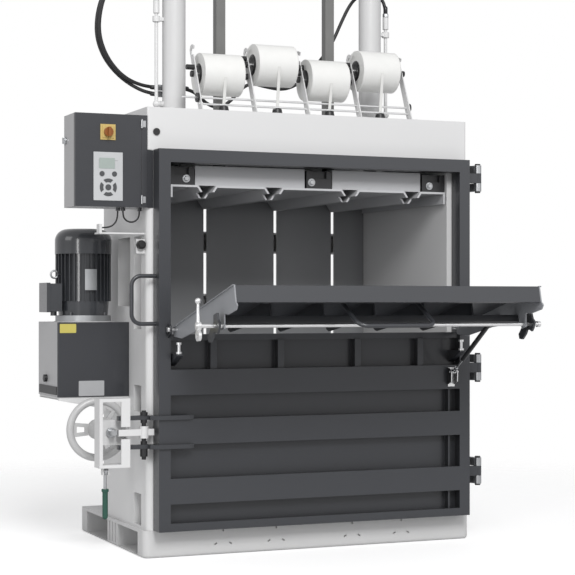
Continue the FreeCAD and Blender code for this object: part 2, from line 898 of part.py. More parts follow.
def edge_panel(inner, outer):
    """Panel at a side of the plate, with one leaning flange and one upright one."""
    top = plate_top
    low = plate_top - flange_drop
    lean = channel_half - channel_foot
    toward = 1 if inner > outer else -1
    outline = [(outer, top), (inner, top), (inner + toward * lean, low),
               (inner + toward * (lean - plate_sheet), low), (inner - toward * plate_sheet / 2,
                                                              top - plate_sheet),
               (outer + toward * plate_sheet, top - plate_sheet), (outer + toward * plate_sheet,
                                                                   top - edge_drop),
               (outer, top - edge_drop)]
    return along_y(outline, body_front + plate_front_gap, rear_inner - plate_rear_gap)


def press_plate():
    """Five folded panels under a box girder, with four V channels for the straps between them."""
    front = body_front + plate_front_gap
    panels = [edge_panel(strap_columns[0] - channel_half, -plate_half),
              edge_panel(strap_columns[-1] + channel_half, plate_half)]
    for left, right in zip(strap_columns, strap_columns[1:]):
        panels.append(plate_panel(left + channel_half, right - channel_half))
    notches = []
    notch_low = plate_top - edge_drop
    notch_high = plate_top - front_notch_drop
    for x in strap_columns:
        notches.append(box(x - channel_half, x + channel_half, front, front + front_notch_length,
                           notch_low, notch_high))
    half = plate_half - plate_sheet
    girder_front = cylinder_y - girder_depth / 2
    girder_back = cylinder_y + girder_depth / 2
    parts = list(panels)
    parts.append(box(-half, half, girder_front, girder_back, plate_top, ram_top))
    for y in (body_front + front_panel_setback + shoe_depth + front_rib_setback,
              rear_inner - rear_rib_setback):
        parts.append(box(-half, half, y, y + sheet, plate_top, ram_top - rib_drop))
    panel_y = body_front + front_panel_setback
    for left, right in front_panel_spans:
        panel = box(left, right, panel_y, panel_y + sheet, plate_top, plate_top + front_panel_height)
        ends = [box(x, x + sheet, panel_y, girder_front, plate_top, plate_top + front_panel_height)
                for x in (left, right - sheet)]
        parts.extend([panel] + ends)
    weldment = joined(parts)
    for notch in notches:
        weldment = weldment.cut(notch)
    return weldment


def guide_shoes():
    """Black guide blocks at the front of the plate, each with a recess for its bolt."""
    shoes = []
    margin = shoe_recess_margin
    for left, right in shoe_spans:
        front = body_front + front_panel_setback - shoe_proud
        shoe = box(left, right, front, front + shoe_depth, plate_top, plate_top + shoe_height)
        shoe = shoe.cut(box(left + margin, right - margin, front, front + shoe_recess_depth,
                            plate_top + shoe_recess_rise, plate_top + shoe_height))
        shoes.append(shoe)
    return group(shoes)


# ---------------------------------------------------------------- strapping
def arm_line(height):
    """Setback of an arm's middle line at a height."""
    share = (height - head_top) / (arm_top - head_top)
    return body_front + arm_foot_setback + share * (arm_top_setback - arm_foot_setback)


def strap_arm(x, heights):
    """Leaning sheet arm with a foot, a hooked top and an open notch for each axle that it carries."""
    half = arm_width / 2
    low_y = arm_line(head_top)
    top_y = arm_line(arm_top)
    hook = [(top_y + behind, arm_top + above) for behind, above in hook_outline]
    outline = [(low_y - half, head_top), (low_y + half, head_top), (top_y + half, arm_top)] + hook
    outline += [(top_y, arm_top - hook_drop), (top_y - half, arm_top - hook_drop)]
    arm = along_x(outline, x - arm_thickness / 2, x + arm_thickness / 2)
    foot = box(x - arm_thickness / 2, x + arm_foot_length / 2, low_y - half, low_y + half,
               head_top, head_top + arm_thickness)
    arm = joined([arm, foot])
    hole = axle_radius
    for height in heights:
        notch = rod(hole, (x - arm_thickness, roll_y, height), (x + arm_thickness, roll_y, height))
        mouth = box(x - arm_thickness, x + arm_thickness, roll_y, roll_y + arm_width, height - hole,
                    height + hole)
        mouth.rotate(Vector(x, roll_y, height), Vector(1, 0, 0), notch_turn)
        arm = arm.cut(notch).cut(mouth)
    for rod_y, rod_z in cross_rod_places():
        arm = arm.cut(rod(cross_rod_radius, (x - arm_thickness, rod_y, rod_z),
                          (x + arm_thickness, rod_y, rod_z)))
    return arm


def cross_rod_places():
    """Places of the high and the low cross rod, as (y, z)."""
    return [(arm_line(head_top + rise) + behind, head_top + rise)
            for rise, behind in zip(cross_rod_rises, cross_rod_setbacks)]


def strap_arms():
    arms = []
    for index, x in enumerate(arm_columns):
        heights = set()
        if index > 0:
            heights.add(roll_axle_heights[index - 1])
        if index < len(roll_axle_heights):
            heights.add(roll_axle_heights[index])
        arms.append(strap_arm(x, sorted(heights)))
    return arms


def axle_ends(index):
    """Ends of a roll's axle, a little beyond the arms at both sides."""
    beyond = arm_thickness / 2 + axle_overhang
    return arm_columns[index] - beyond, arm_columns[index + 1] + beyond


def strap_rods():
    """Four roll axles and two thin cross rods through the arms."""
    rods = []
    for index, z in enumerate(roll_axle_heights):
        left, right = axle_ends(index)
        rods.append(rod(axle_radius, (left, roll_y, z), (right, roll_y, z)))
    first = arm_columns[0]
    last = arm_columns[-1]
    (high_y, high_z), (low_y, low_z) = cross_rod_places()
    left_end, right_end = high_rod_ends
    rods.append(rod(cross_rod_radius, (first - left_end, high_y, high_z), (last + right_end, high_y, high_z)))
    rods.append(rod(cross_rod_radius, (first - low_rod_end, low_y, low_z),
                    (last + low_rod_end, low_y, low_z)))
    return group(rods)


def strap_knobs():
    """Black mandrels in the rolls, knobs on their axles and beside the arms, discs on the cross rod."""
    knobs = []
    mandrel_half = roll_width / 2 + mandrel_overhang
    for index, (x, z) in enumerate(zip(roll_columns, roll_axle_heights)):
        mandrel = rod(roll_bore - touch_gap, (x - mandrel_half, roll_y, z), (x + mandrel_half, roll_y, z))
        knobs.append(mandrel.cut(rod(axle_radius, (x - mandrel_half, roll_y, z),
                                     (x + mandrel_half, roll_y, z))))
        for side, end in zip((-1, 1), axle_ends(index)):
            knob = rod(knob_radius, (end - side * knob_length / 2, roll_y, z),
                       (end + side * knob_length / 2, roll_y, z))
            knobs.append(knob.cut(rod(axle_radius, (end - side * knob_length, roll_y, z), (end, roll_y, z))))
        left_face = arm_columns[index] - arm_thickness / 2
        right_face = arm_columns[index + 1] - arm_thickness / 2
        collar = rod(collar_radius, (x + mandrel_half, roll_y, z), (right_face, roll_y, z))
        knobs.append(collar.cut(rod(axle_radius, (x + mandrel_half, roll_y, z), (right_face, roll_y, z))))
        high = z + arm_knob_lift
        knobs.append(rod(arm_knob_radius, (left_face - arm_knob_length, arm_line(high), high),
                         (left_face, arm_line(high), high)))
    first_face = arm_columns[0] - arm_thickness / 2
    last_face = arm_columns[-1] + arm_thickness / 2
    high_y, high_z = cross_rod_places()[0]
    for x0, x1 in ((first_face - disc_thickness, first_face), (last_face, last_face + disc_thickness)):
        disc = rod(disc_radius, (x0, high_y, high_z), (x1, high_y, high_z))
        knobs.append(disc.cut(rod(cross_rod_radius, (x0, high_y, high_z), (x1, high_y, high_z))))
    return group(knobs)


def strap_roll(index):
    x = roll_columns[index]
    z = roll_axle_heights[index]
    half = roll_width / 2
    roll = rod(roll_radius, (x - half, roll_y, z), (x + half, roll_y, z))
    return roll.cut(rod(roll_bore, (x - half, roll_y, z), (x + half, roll_y, z)))


def strap_tail(index):
    """Taut strap from the front of a roll down into its inlet."""
    x = roll_columns[index]
    z = roll_axle_heights[index]
    reach = roll_radius + touch_gap + tail_thickness / 2
    mouth_y = body_front + inlet_setback
    mouth_z = head_top + inlet_height
    to_center = math.hypot(roll_y - mouth_y, z - mouth_z)
    lean = math.asin(reach / to_center)
    base = math.atan2(roll_y - mouth_y, z - mouth_z)
    heading = base - lean
    run = math.sqrt(to_center ** 2 - reach ** 2)
    end_y = mouth_y + run * math.sin(heading)
    end_z = mouth_z + run * math.cos(heading)
    across_y = math.cos(heading) * tail_thickness / 2
    across_z = math.sin(heading) * tail_thickness / 2
    low_z = head_top - sheet
    outline = [(mouth_y - across_y, mouth_z + across_z), (end_y - across_y, end_z + across_z),
               (end_y + across_y, end_z - across_z), (mouth_y + across_y, mouth_z - across_z),
               (mouth_y + across_y, low_z), (mouth_y - across_y, low_z)]
    return along_x(outline, x - tail_width / 2, x + tail_width / 2)


def strap_inlet(x):
    y = body_front + inlet_setback
    ring = cone(inlet_radius, inlet_radius - inlet_taper, (x, y, head_top), (x, y, head_top + inlet_height))
    return ring.cut(rod(inlet_bore, (x, y, head_top), (x, y, head_top + inlet_height)))


# ---------------------------------------------------------------- pipes and hoses
def hard_pipe(side):
    """Pipe from the lower port of a cylinder up to a fitting beside it."""
    port = side * (cylinder_spacing / 2 + port_reach)
    port_z = head_top + port_height
    x = side * pipe_x
    pipe = rod(pipe_radius, (x, cylinder_y, port_z), (x, cylinder_y, pipe_top))
    elbow = Part.makeSphere(elbow_radius, Vector(x, cylinder_y, port_z))
    link = rod(link_radius, (port, cylinder_y, port_z), (x, cylinder_y, port_z))
    nut = rod(fitting_radius, (x, cylinder_y, pipe_top - fitting_length), (x, cylinder_y, pipe_top))
    clamp_z = pipe_top - pipe_clamp_drop
    clamp_top = clamp_z + pipe_clamp_height
    collar_low, collar_high = [clamp_z + rise for rise in pipe_collar_span]
    collar = rod(pipe_collar_radius, (x, cylinder_y, collar_low), (x, cylinder_y, collar_high))
    axis = side * cylinder_spacing / 2
    clamp = box(min(x, axis), max(x, axis), cylinder_y - pipe_clamp_half, cylinder_y + pipe_clamp_half,
                clamp_z, clamp_top)
    clamp = clamp.cut(rod(cylinder_radius, (axis, cylinder_y, clamp_z), (axis, cylinder_y, clamp_top)))
    return joined([pipe, elbow, link, nut, collar, clamp])


def manifold():
    """Valve block on the head with a threaded stub for each hose."""
    half = manifold_depth / 2
    block = box(manifold_left, manifold_right, hose_y - half, hose_y + half, head_top,
                head_top + manifold_height)
    stubs = [rod(fitting_radius, (stub_left, hose_y, head_top + rise), (manifold_left, hose_y,
                                                                        head_top + rise))
             for rise in left_port_rises]
    z = head_top + right_port_rise
    stubs.append(rod(fitting_radius, (manifold_right, hose_y, z), (stub_right, hose_y, z)))
    return joined([block] + stubs)


def top_elbow():
    """Elbow on the left cylinder's upper port, its mouth facing down."""
    x = -cylinder_spacing / 2
    return joined([
        rod(link_radius, (x, cylinder_y + top_port_length, top_elbow_z), (x, top_elbow_y, top_elbow_z)),
        Part.makeSphere(fitting_radius, Vector(x, top_elbow_y, top_elbow_z)),
        rod(fitting_radius, (x, top_elbow_y, top_elbow_z - top_elbow_drop), (x, top_elbow_y, top_elbow_z)),
    ])


def hose_points(side, points):
    """Hose points from their place out from a cylinder's axis, behind it and above the head."""
    axis = side * cylinder_spacing / 2
    return [(axis + side * out, cylinder_y + behind, head_top + rise) for out, behind, rise in points]


# from the manifold round in a loop and down into the left pipe
hose_loop_route = [(stub_left, hose_y, head_top + left_port_rises[0])] + hose_points(-1, [
    (72, hose_behind, left_port_rises[0]), (147, 100, 157), (206, 94, 196), (258, 86, 262), (286, 76, 346),
    (280, 60, 441), (252, 44, 521), (193, 24, 582), (121, 6, 584), (pipe_offset, 0, 533)]) + [pipe_mouth_left]

# from the manifold up beside the left cylinder to its upper port
hose_tall_route = [(stub_left, hose_y, head_top + left_port_rises[1])] + hose_points(-1, [
    (68, hose_behind, left_port_rises[1]), (141, 116, 144), (203, 120, 190), (252, 122, 250), (280, 124, 325),
    (280, 124, 407), (258, 122, 493), (214, 118, 577), (152, 112, 655), (83, 106, 743), (37, 102, 841),
    (13, 98, 951), (0, top_port_reach, 1067)]) + [(-cylinder_spacing / 2, top_elbow_y,
                                                   top_elbow_z - top_elbow_drop)]

# from the manifold behind the rolls, up and over into the right pipe
hose_right_route = [(stub_right, hose_y, head_top + right_port_rise)] + hose_points(-1, [
    (-118, hose_behind, right_port_rise), (-186, 108, 73), (-260, 108, 73), (-352, 108, 183),
    (-445, 108, 163)]) + hose_points(1, [
        (-337, 108, 157), (-269, 108, 189), (-207, 108, 251), (-149, 108, 321), (-111, 110, 383),
        (-77, 113, 455),
        (-37, 118, 529), (-11, 94, 565), (24, 59, 576), (56, 23, 557), (pipe_offset, 0,
                                                                        516)]) + [pipe_mouth_right]


# ---------------------------------------------------------------- door
def door_frame():
    """Welded door: stiles, rails, three bands, recess panels, strap ribs and the arms of the lock."""
    inner = inner_half
    low_band = door_bottom + bottom_rail
    sill_top = flap_axis_height - sill_drop
    sill_low = sill_top - sill_height
    parts = []
    for x0, x1 in ((-half_door, -inner), (inner, half_door)):
        parts.append(box(x0, x1, door_front, door_back, door_bottom, door_top))
    parts.append(box(-inner, inner, door_front, door_back, door_top - top_rail, door_top))
    parts.append(box(-inner, inner, door_front, door_back, door_bottom, low_band))
    for low in band_bottoms:
        parts.append(box(-inner, inner, door_front, door_back, low, low + band_height))
    parts.append(box(-inner, inner, door_front + recess_depth, door_back, door_bottom, sill_top))
    parts.append(box(-inner, inner, door_front + sill_setback, door_back, sill_low, sill_top))
    for x in strap_columns:
        parts.append(box(x - strap_rib_width / 2, x + strap_rib_width / 2, door_front + strap_rib_setback,
                         door_back,
                         band_bottoms[-1] + band_height, sill_low))
    recess_lows = [low_band] + [low + band_height for low in band_bottoms[:-1]]
    brace_x = inner - brace_inset
    for low, high in zip(recess_lows, band_bottoms):
        parts.append(box(brace_x, brace_x + door_skin, door_front + brace_setback, door_front + recess_depth,
                         low, high))
    parts.extend(lock_arms())
    parts.extend(flap_lugs())
    parts.extend(stop_ledges())
    frame = joined([joined(parts)] + door_knuckles())
    for z in lock_arm_heights():
        hole = rod(lock_pin_radius, (-lock_pin_x, lock_pin_y(), z - lock_arm_thickness),
                   (-lock_pin_x, lock_pin_y(), z + lock_arm_thickness))
        frame = frame.cut(hole)
    for z in hinge_heights:
        frame = frame.cut(rod(hinge_pin_radius + running_fit, (hinge_x, hinge_y, z - knuckle_length),
                              (hinge_x, hinge_y, z + knuckle_length)))
    for side in (-1, 1):
        frame = frame.cut(rod(flap_pin_radius, (side * inner, flap_y, flap_axis_height),
                              (side * half_door, flap_y, flap_axis_height)))
    return frame


def lock_arm_heights():
    half = lock_arm_spread / 2
    return (lock_height - half, lock_height + half)


def lock_pin_y():
    return door_front + lock_front + lock_arm_setback + lock_arm_depth / 2


def lock_arms():
    """Two arms welded across the stile, tapered on the middle band, that reach out to the lock."""
    arms = []
    half = lock_arm_thickness / 2
    back = lock_pin_y() + lock_arm_depth / 2
    front = door_front - lock_arm_proud
    shoulder = -half_door - lock_arm_shoulder
    taper_end, taper_start = lock_arm_ends
    chamfer_x, chamfer_y = lock_arm_chamfer
    for z in lock_arm_heights():
        reach = box(-lock_arm_reach, -half_door, lock_pin_y() - lock_arm_depth / 2, back, z - half, z + half)
        outline = [(shoulder, back), (-half_door, back), (-half_door, door_front),
                   (-inner_half + taper_end, door_front), (-inner_half + taper_start, front),
                   (-half_door - chamfer_x, front), (shoulder, door_front + chamfer_y)]
        arms.extend([reach, along_z(outline, z - half, z + half)])
    return arms


def flap_lugs():
    """Bearing lugs of the flap's hinge pins, one on each stile."""
    lugs = []
    axis = flap_axis_height
    for side in (-1, 1):
        x0 = side * (inner_half + flap_lug_inset)
        x1 = x0 + side * flap_lug_thickness
        outline = [(door_front, axis - flap_lug_drop), (door_front, axis + flap_lug_lift),
                   (flap_y - flap_lug_round, axis + flap_lug_radius), (flap_y - flap_lug_radius, axis),
                   (flap_y - flap_lug_round, axis - flap_lug_radius)]
        lugs.append(along_x(outline, min(x0, x1), max(x0, x1)))
    return lugs


def stop_ledges():
    """Small shelves on the stiles for the flap's stop bolts."""
    ledges = []
    for side in (-1, 1):
        x = side * (flap_half_width - stop_inset)
        front = door_front - stop_front - ledge_overhang
        back = door_front + recess_depth
        outline = [(front, stop_ledge_top), (front, stop_ledge_top - ledge_edge),
                   (back, stop_ledge_top - ledge_web), (back, stop_ledge_top)]
        ledges.append(along_x(outline, x - ledge_half, x + ledge_half))
    return ledges


def door_knuckles():
    knuckles = []
    for z in hinge_heights:
        low = z - knuckle_length / 2
        high = z + knuckle_length / 2
        barrel = rod(barrel_radius, (hinge_x, hinge_y, low), (hinge_x, hinge_y, high))
        lug = box(half_door, hinge_x, hinge_y - knuckle_lug_half, hinge_y + knuckle_lug_half, low, high)
        knuckles.append(joined([barrel, lug]))
    return knuckles


def door_hinges():
    """Zinc brackets and barrels on the right side wall, each pair with its pin through the door's knuckle."""
    hinges = []
    leaf_front, leaf_back = [body_front + setback for setback in hinge_leaf]
    for z in hinge_heights:
        parts = []
        for side in (-1, 1):
            near = z + side * (knuckle_length / 2 + hinge_axial_gap)
            far = near + side * barrel_length
            low = min(near, far)
            high = max(near, far)
            outline = [(half_body, leaf_front), (half_body, leaf_back), (half_body + hinge_leaf_thickness,
                                                                         leaf_back),
                       (hinge_x + hinge_wrap, hinge_y + knuckle_lug_half),
                       (hinge_x + hinge_wrap, hinge_y - hinge_wrap_front),
                       (hinge_x - hinge_wrap_inset, hinge_y)]
            parts.append(along_z(outline, low, high))
            parts.append(rod(barrel_radius, (hinge_x, hinge_y, low), (hinge_x, hinge_y, high)))
        half = knuckle_length / 2 + hinge_axial_gap + barrel_length
        parts.append(rod(hinge_pin_radius, (hinge_x, hinge_y, z - half), (hinge_x, hinge_y, z + half)))
        hinges.append(joined(parts))
    return group(hinges)


def hinge_caps():
    caps = []
    for z in hinge_heights:
        half = knuckle_length / 2 + hinge_axial_gap + barrel_length
        for side in (-1, 1):
            start = z + side * half
            caps.append(rod(cap_radius, (hinge_x, hinge_y, start), (hinge_x, hinge_y,
                                                                    start + side * cap_height)))
    return caps


def door_handle():
    x = -half_door - handle_reach
    y = hinge_y
    low = handle_top - handle_length
    return bent_bar([(-half_door, y, handle_top), (x, y, handle_top), (x, y, low), (-half_door, y, low)],
                    bar_radius, handle_bend)


def strut_clevis():
    """Bracket of the strut on the door: a back plate, two lugs and the pin between them."""
    y = strut_low_y()
    z = strut_low_height
    shoulder, nose, toe, heel, foot = clevis_outline
    outline = [(door_front, z + clevis_rise), (y, z + shoulder), (y - nose, z), (y - toe, z - heel),
               (door_front, z - foot)]
    lugs = [along_x(outline, x, x + clevis_sheet)
            for x in (strut_x - clevis_half, strut_x + clevis_half - clevis_sheet)]
    pin = rod(strut_pin_radius, (strut_x - clevis_pin_half, y, z), (strut_x + clevis_pin_half, y, z))
    back = box(strut_x - clevis_half, strut_x + clevis_half, door_front - clevis_sheet, door_front,
               z - clevis_drop, z + clevis_rise)
    return joined(lugs + [pin, back])


def door_fittings():
    """Zinc pieces on the door: flap hinge pins, stop bolts and the clevis of the strut."""
    pieces = []
    for side in (-1, 1):
        head_x = side * (inner_half + flap_lug_inset + flap_lug_thickness)
        pin = rod(flap_pin_radius, (side * (flap_half_width - flap_pin_inset), flap_y, flap_axis_height),
                  (head_x, flap_y, flap_axis_height))
        head = rod(flap_pin_radius + flap_pin_head, (head_x, flap_y, flap_axis_height),
                   (head_x + side * flap_pin_head_length, flap_y, flap_axis_height))
        pieces.append(joined([pin, head]))
        x = side * (flap_half_width - stop_inset)
        y = door_front - stop_front
        bolt_top = stop_ledge_top + stop_bolt[1]
        pieces.append(joined([
            rod(stop_nut[0], (x, y, stop_ledge_top), (x, y, stop_ledge_top + stop_nut[1])),
            rod(stop_bolt[0], (x, y, stop_ledge_top), (x, y, bolt_top)),
            rod(stop_head_radius, (x, y, bolt_top - stop_nut[1]), (x, y, bolt_top)),
        ]))
    pieces.append(strut_clevis())
    return group(pieces)


# ---------------------------------------------------------------- filling flap, drawn level, then tilted
def place_flap(shape):
    """From flap axes (out along -y, outer face down -z, hinge at the origin) to the open place."""
    shape = shape.copy()
    shape.rotate(Vector(0, 0, 0), Vector(1, 0, 0), -flap_incline)
    shape.translate(Vector(0, flap_y, flap_axis_height))
    return shape


def flap_profile(outline, x0, x1):
    """Solid with an outline of (reach, drop) pairs between two x planes."""
    return along_x([(-reach, -drop) for reach, drop in outline], x0, x1)


def flap_point(reach, drop):
    """Place of a flap point in the open pose, as (y, z)."""
    tilt = math.radians(flap_incline)
    y = flap_y - reach * math.cos(tilt) - drop * math.sin(tilt)
    z = flap_axis_height + reach * math.sin(tilt) - drop * math.cos(tilt)
    return y, z


def flap_panel():
    """Inner skin with a deep outer rail, a grip rail across it and ribs between."""
    half = flap_half_width
    face = -flap_rise
    under = face + flap_skin
    inner = flap_reach - flap_skin
    foot = flap_rail_depth - flap_rise
    rail_low = grip_rail_drop + grip_rail_size
    rail_end = grip_rail_at + grip_rail_size
    sections = [
        [(flap_start, face), (flap_reach, face), (flap_reach, under), (flap_start, under)],
        [(inner, face), (flap_reach, face), (flap_reach, foot), (inner, foot)],
        [(flap_reach - flap_lip, foot - flap_lip_depth), (flap_reach, foot - flap_lip_depth),
         (flap_reach, foot), (flap_reach - flap_lip, foot)],
        [(grip_rail_at, grip_rail_drop), (rail_end, grip_rail_drop), (rail_end, rail_low),
         (grip_rail_at, rail_low)],
    ]
    parts = [flap_profile(section, -half, half) for section in sections]
    rib = [(flap_rib_start, under), (rail_end, under), (rail_end, grip_rail_drop),
           (grip_rail_at, grip_rail_drop),
           flap_rib_knee, (flap_rib_start, flap_rib_heel)]
    parts += [flap_profile(rib, x - flap_rib_half, x + flap_rib_half) for x in flap_rib_columns]
    return place_flap(joined(parts))


def cheek_outline():
    """Straight top edge, rounded nose, tab round the latch rod and a belly back to the hinge."""
    foot = latch_drop + cheek_tab_foot
    nose = [(flap_reach + out, drop) for out, drop in cheek_nose]
    tab = [(latch_at + out, drop) for out, drop in cheek_tab]
    tab += [(latch_at + cheek_tab_half, foot), (latch_at - cheek_tab_half, foot)]
    return [(-cheek_heel, -cheek_rise), (flap_reach, -cheek_rise)] + nose + tab + [
        (latch_at + cheek_tab_back[0], cheek_tab_back[1])] + list(cheek_belly)


def flap_cheek(side):
    """End plate of the flap with the bearing tab of the latch rod."""
    x0 = side * flap_half_width
    x1 = side * (flap_half_width + cheek_thickness)
    plate = flap_profile(cheek_outline(), min(x0, x1), max(x0, x1))
    lip_low = cheek_lip_depth - cheek_rise
    lip_end = x1 + side * cheek_lip_width
    lip = flap_profile([(flap_start, -cheek_rise), (flap_reach, -cheek_rise), (flap_reach, lip_low),
                        (flap_start, lip_low)], min(x0, lip_end), max(x0, lip_end))
    plate = joined([plate, lip])
    plate = plate.cut(flap_rod(flap_pin_radius + running_fit, 0, 0, x0, x1))
    plate = plate.cut(flap_rod(latch_rod_radius + running_fit, latch_at, latch_drop, x0, x1))
    return place_flap(plate)


def flap_rod(radius, reach, drop, x0, x1):
    return rod(radius, (min(x0, x1), -reach, -drop), (max(x0, x1), -reach, -drop))


def flap_handle():
    half = flap_handle_span / 2
    top = flap_skin - flap_rise
    points = [(-half, -flap_handle_foot, -top), (-half, -flap_handle_grip, -flap_handle_drop),
              (half, -flap_handle_grip, -flap_handle_drop), (half, -flap_handle_foot, -top)]
    bar = bent_bar(points, bar_radius, handle_bend)
    bar = bar.cut(box(-half - handle_trim, half + handle_trim, -flap_handle_foot - handle_trim,
                      -flap_handle_foot + handle_trim, -top, -top + handle_trim))
    return place_flap(bar)


def latch_rod():
    end = latch_lever_x + latch_rod_tail
    bar = flap_rod(latch_rod_radius, latch_at, latch_drop, -end, latch_rod_half)
    cap = flap_rod(latch_cap_radius, latch_at, latch_drop, latch_rod_half - latch_cap_length, latch_rod_half)
    return place_flap(joined([bar, cap]))


def latch_claw(side):
    """Two-lobed claw plate fixed on the latch rod beyond a cheek."""
    x0 = side * (inner_half + claw_gap)
    x1 = x0 + side * claw_thickness
    placed = [(latch_at + along, latch_drop + down) for along, down in claw_outline]
    plate = flap_profile(placed, min(x0, x1), max(x0, x1))
    return place_flap(plate.cut(flap_rod(latch_rod_radius, latch_at, latch_drop, x0, x1)))


def latch_lever():
    """Hand lever at the rod's left end: a hub, a stem up to a ball and a ring below."""
    x = -latch_lever_x
    half = latch_hub_half
    hub = rod(latch_hub_radius, (x - half, -latch_at, -latch_drop), (x + half, -latch_at, -latch_drop))
    ball_place = (x, -latch_at - lever_ball_place[0], -latch_drop + lever_ball_place[1])
    stem = cone(lever_stem_radii[0], lever_stem_radii[1], (x, -latch_at, -latch_drop), ball_place)
    ball = Part.makeSphere(lever_ball_radius, Vector(*ball_place))
    y = -latch_at + lever_ring_place[0]
    z = -latch_drop - lever_ring_place[1]
    ring = rod(lever_ring_radius, (x - lever_ring_half, y, z), (x + lever_ring_half, y, z))
    eye = rod(lever_ring_hole, (x - lever_ring_half, y, z), (x + lever_ring_half, y, z))
    bore = rod(latch_rod_radius, (x - 2 * half, -latch_at, -latch_drop),
               (x + 2 * half, -latch_at, -latch_drop))
    return place_flap(joined([hub, stem, ball, ring]).cut(eye).cut(bore))


# ---------------------------------------------------------------- gas strut
def strut_low_y():
    return door_front - strut_low_front


def strut_axis():
    low = Vector(strut_x, strut_low_y(), strut_low_height)
    y, z = flap_point(strut_high_reach, strut_high_drop)
    high = Vector(strut_x, y, z)
    return low, high, (high - low).normalize()


def strut_cylinder():
    low, high, heading = strut_axis()
    end = high - heading * (strut_eye_radius - strut_eye_overlap)
    start = high - heading * strut_tube_length
    tube = Part.makeCylinder(strut_tube_radius, (end - start).Length, start, heading)
    bore = Part.makeCylinder(strut_rod_radius + running_fit, (end - start).Length - strut_bore_end, start,
                             heading)
    eye = rod(strut_eye_radius, (strut_x - strut_eye_half, high.y, high.z),
              (strut_x + strut_eye_half, high.y, high.z))
    stud_end = flap_half_width - touch_gap * 2
    stud = rod(strut_pin_radius, (strut_x, high.y, high.z), (stud_end, high.y, high.z))
    return joined([tube.cut(bore), eye, stud])


def strut_rod():
    low, high, heading = strut_axis()
    reach = (high - low).Length
    end = low + heading * (reach - strut_eye_radius - strut_rod_gap)
    bar = Part.makeCylinder(strut_rod_radius, (end - low).Length, low, heading)
    half = strut_eye_half
    eye = rod(strut_eye_radius, (strut_x - half, low.y, low.z), (strut_x + half, low.y, low.z))
    neck = Part.makeCylinder(strut_neck[0], strut_neck[1], low, heading)
    hole = rod(strut_pin_radius + running_fit, (strut_x - 2 * half, low.y, low.z),
               (strut_x + 2 * half, low.y, low.z))
    return joined([bar, eye, neck]).cut(hole)


# ---------------------------------------------------------------- door lock
def lock_frame():
    """White open frame carried on the ends of the arms, with the bearing plate of the spindle behind."""
    left = -lock_x - lock_frame_width / 2
    right = -lock_x + lock_frame_width / 2
    low = lock_height - lock_frame_height / 2
    high = lock_height + lock_frame_height / 2
    front = door_front + lock_front
    back = front + lock_frame_depth
    frame = box(left, right, front, back, low, high)
    frame = frame.cut(box(left + lock_left_stile, right - lock_inner_stile, front, back, low + lock_rail,
                          high - lock_rail))
    face = box(right - lock_right_stile, right, front, front + lock_face, low, high)
    bearing = box(left, right, back - bearing_depth, back, lock_height - bearing_half,
                  lock_height + bearing_half)
    tail = rod(hub_radius, (-lock_x, back, lock_height), (-lock_x, back + bearing_tail, lock_height))
    frame = joined([frame, face, bearing, tail])
    half = lock_arm_thickness / 2
    for z in lock_arm_heights():
        arm_front = lock_pin_y() - lock_arm_depth / 2
        frame = frame.cut(box(-lock_arm_reach, right, arm_front, arm_front + lock_arm_depth, z - half,
                              z + half))
    bar_half = clamp_bar_size / 2 + clamp_bar_room
    frame = frame.cut(box(right - lock_right_stile, right, front, back - bearing_depth,
                          lock_height - bar_half, lock_height + bar_half))
    return frame.cut(rod(spindle_radius + running_fit, (-lock_x, front, lock_height),
                         (-lock_x, back + 2 * bearing_tail, lock_height)))


def handwheel():
    """Three-spoked wheel with a round rim and a conical hub."""
    y = door_front + wheel_setback
    rim = Part.makeTorus(wheel_radius - wheel_rim, wheel_rim, Vector(-lock_x, y, lock_height),
                         Vector(0, 1, 0))
    parts = [rim]
    hub_front = y - hub_length
    disc_front = y - hub_disc[0]
    disc_back = y + hub_disc[1]
    parts.append(cone(hub_nose_radius, hub_disc_radius, (-lock_x, hub_front, lock_height),
                      (-lock_x, disc_front, lock_height)))
    parts.append(rod(hub_disc_radius, (-lock_x, disc_front, lock_height), (-lock_x, disc_back, lock_height)))
    reach = wheel_radius - wheel_rim
    root, tip = spoke_halves
    slot_start = hub_radius + spoke_slot_insets[0]
    slot_end = reach - spoke_slot_insets[1]
    slot_root, slot_tip = spoke_slot_halves
    for turn in spoke_turns:
        spoke = along_y([(hub_radius, -root), (reach, -tip), (reach, tip), (hub_radius, root)],
                        y - spoke_thickness / 2, y + spoke_thickness / 2)
        slot = along_y([(slot_start, -slot_root), (slot_end, -slot_tip), (slot_end, slot_tip),
                        (slot_start, slot_root)],
                       y - spoke_thickness / 2, y + spoke_thickness / 2)
        spoke = spoke.cut(slot)
        spoke.rotate(Vector(0, 0, 0), Vector(0, 1, 0), turn)
        spoke.translate(Vector(-lock_x, 0, lock_height))
        parts.append(spoke)
    wheel = joined(parts)
    return wheel.cut(rod(spindle_radius, (-lock_x, hub_front, lock_height),
                         (-lock_x, y + hub_length, lock_height)))


def lock_spindle():
    """Spindle from the lock frame's face to the wheel, with a thrust collar and an end washer."""
    front = door_front + lock_front + lock_face
    hub_back = door_front + wheel_setback + hub_disc[1]
    collar_back = door_front + lock_front + lock_frame_depth - bearing_depth - thrust_gap
    shaft = rod(spindle_radius, (-lock_x, front, lock_height), (-lock_x, hub_back + spindle_tail,
                                                                lock_height))
    collar = rod(thrust_collar_radius, (-lock_x, collar_back - thrust_collar_length, lock_height),
                 (-lock_x, collar_back, lock_height))
    washer = rod(end_washer_radius, (-lock_x, hub_back, lock_height),
                 (-lock_x, hub_back + end_washer_thickness, lock_height))
    return joined([shaft, collar, washer])


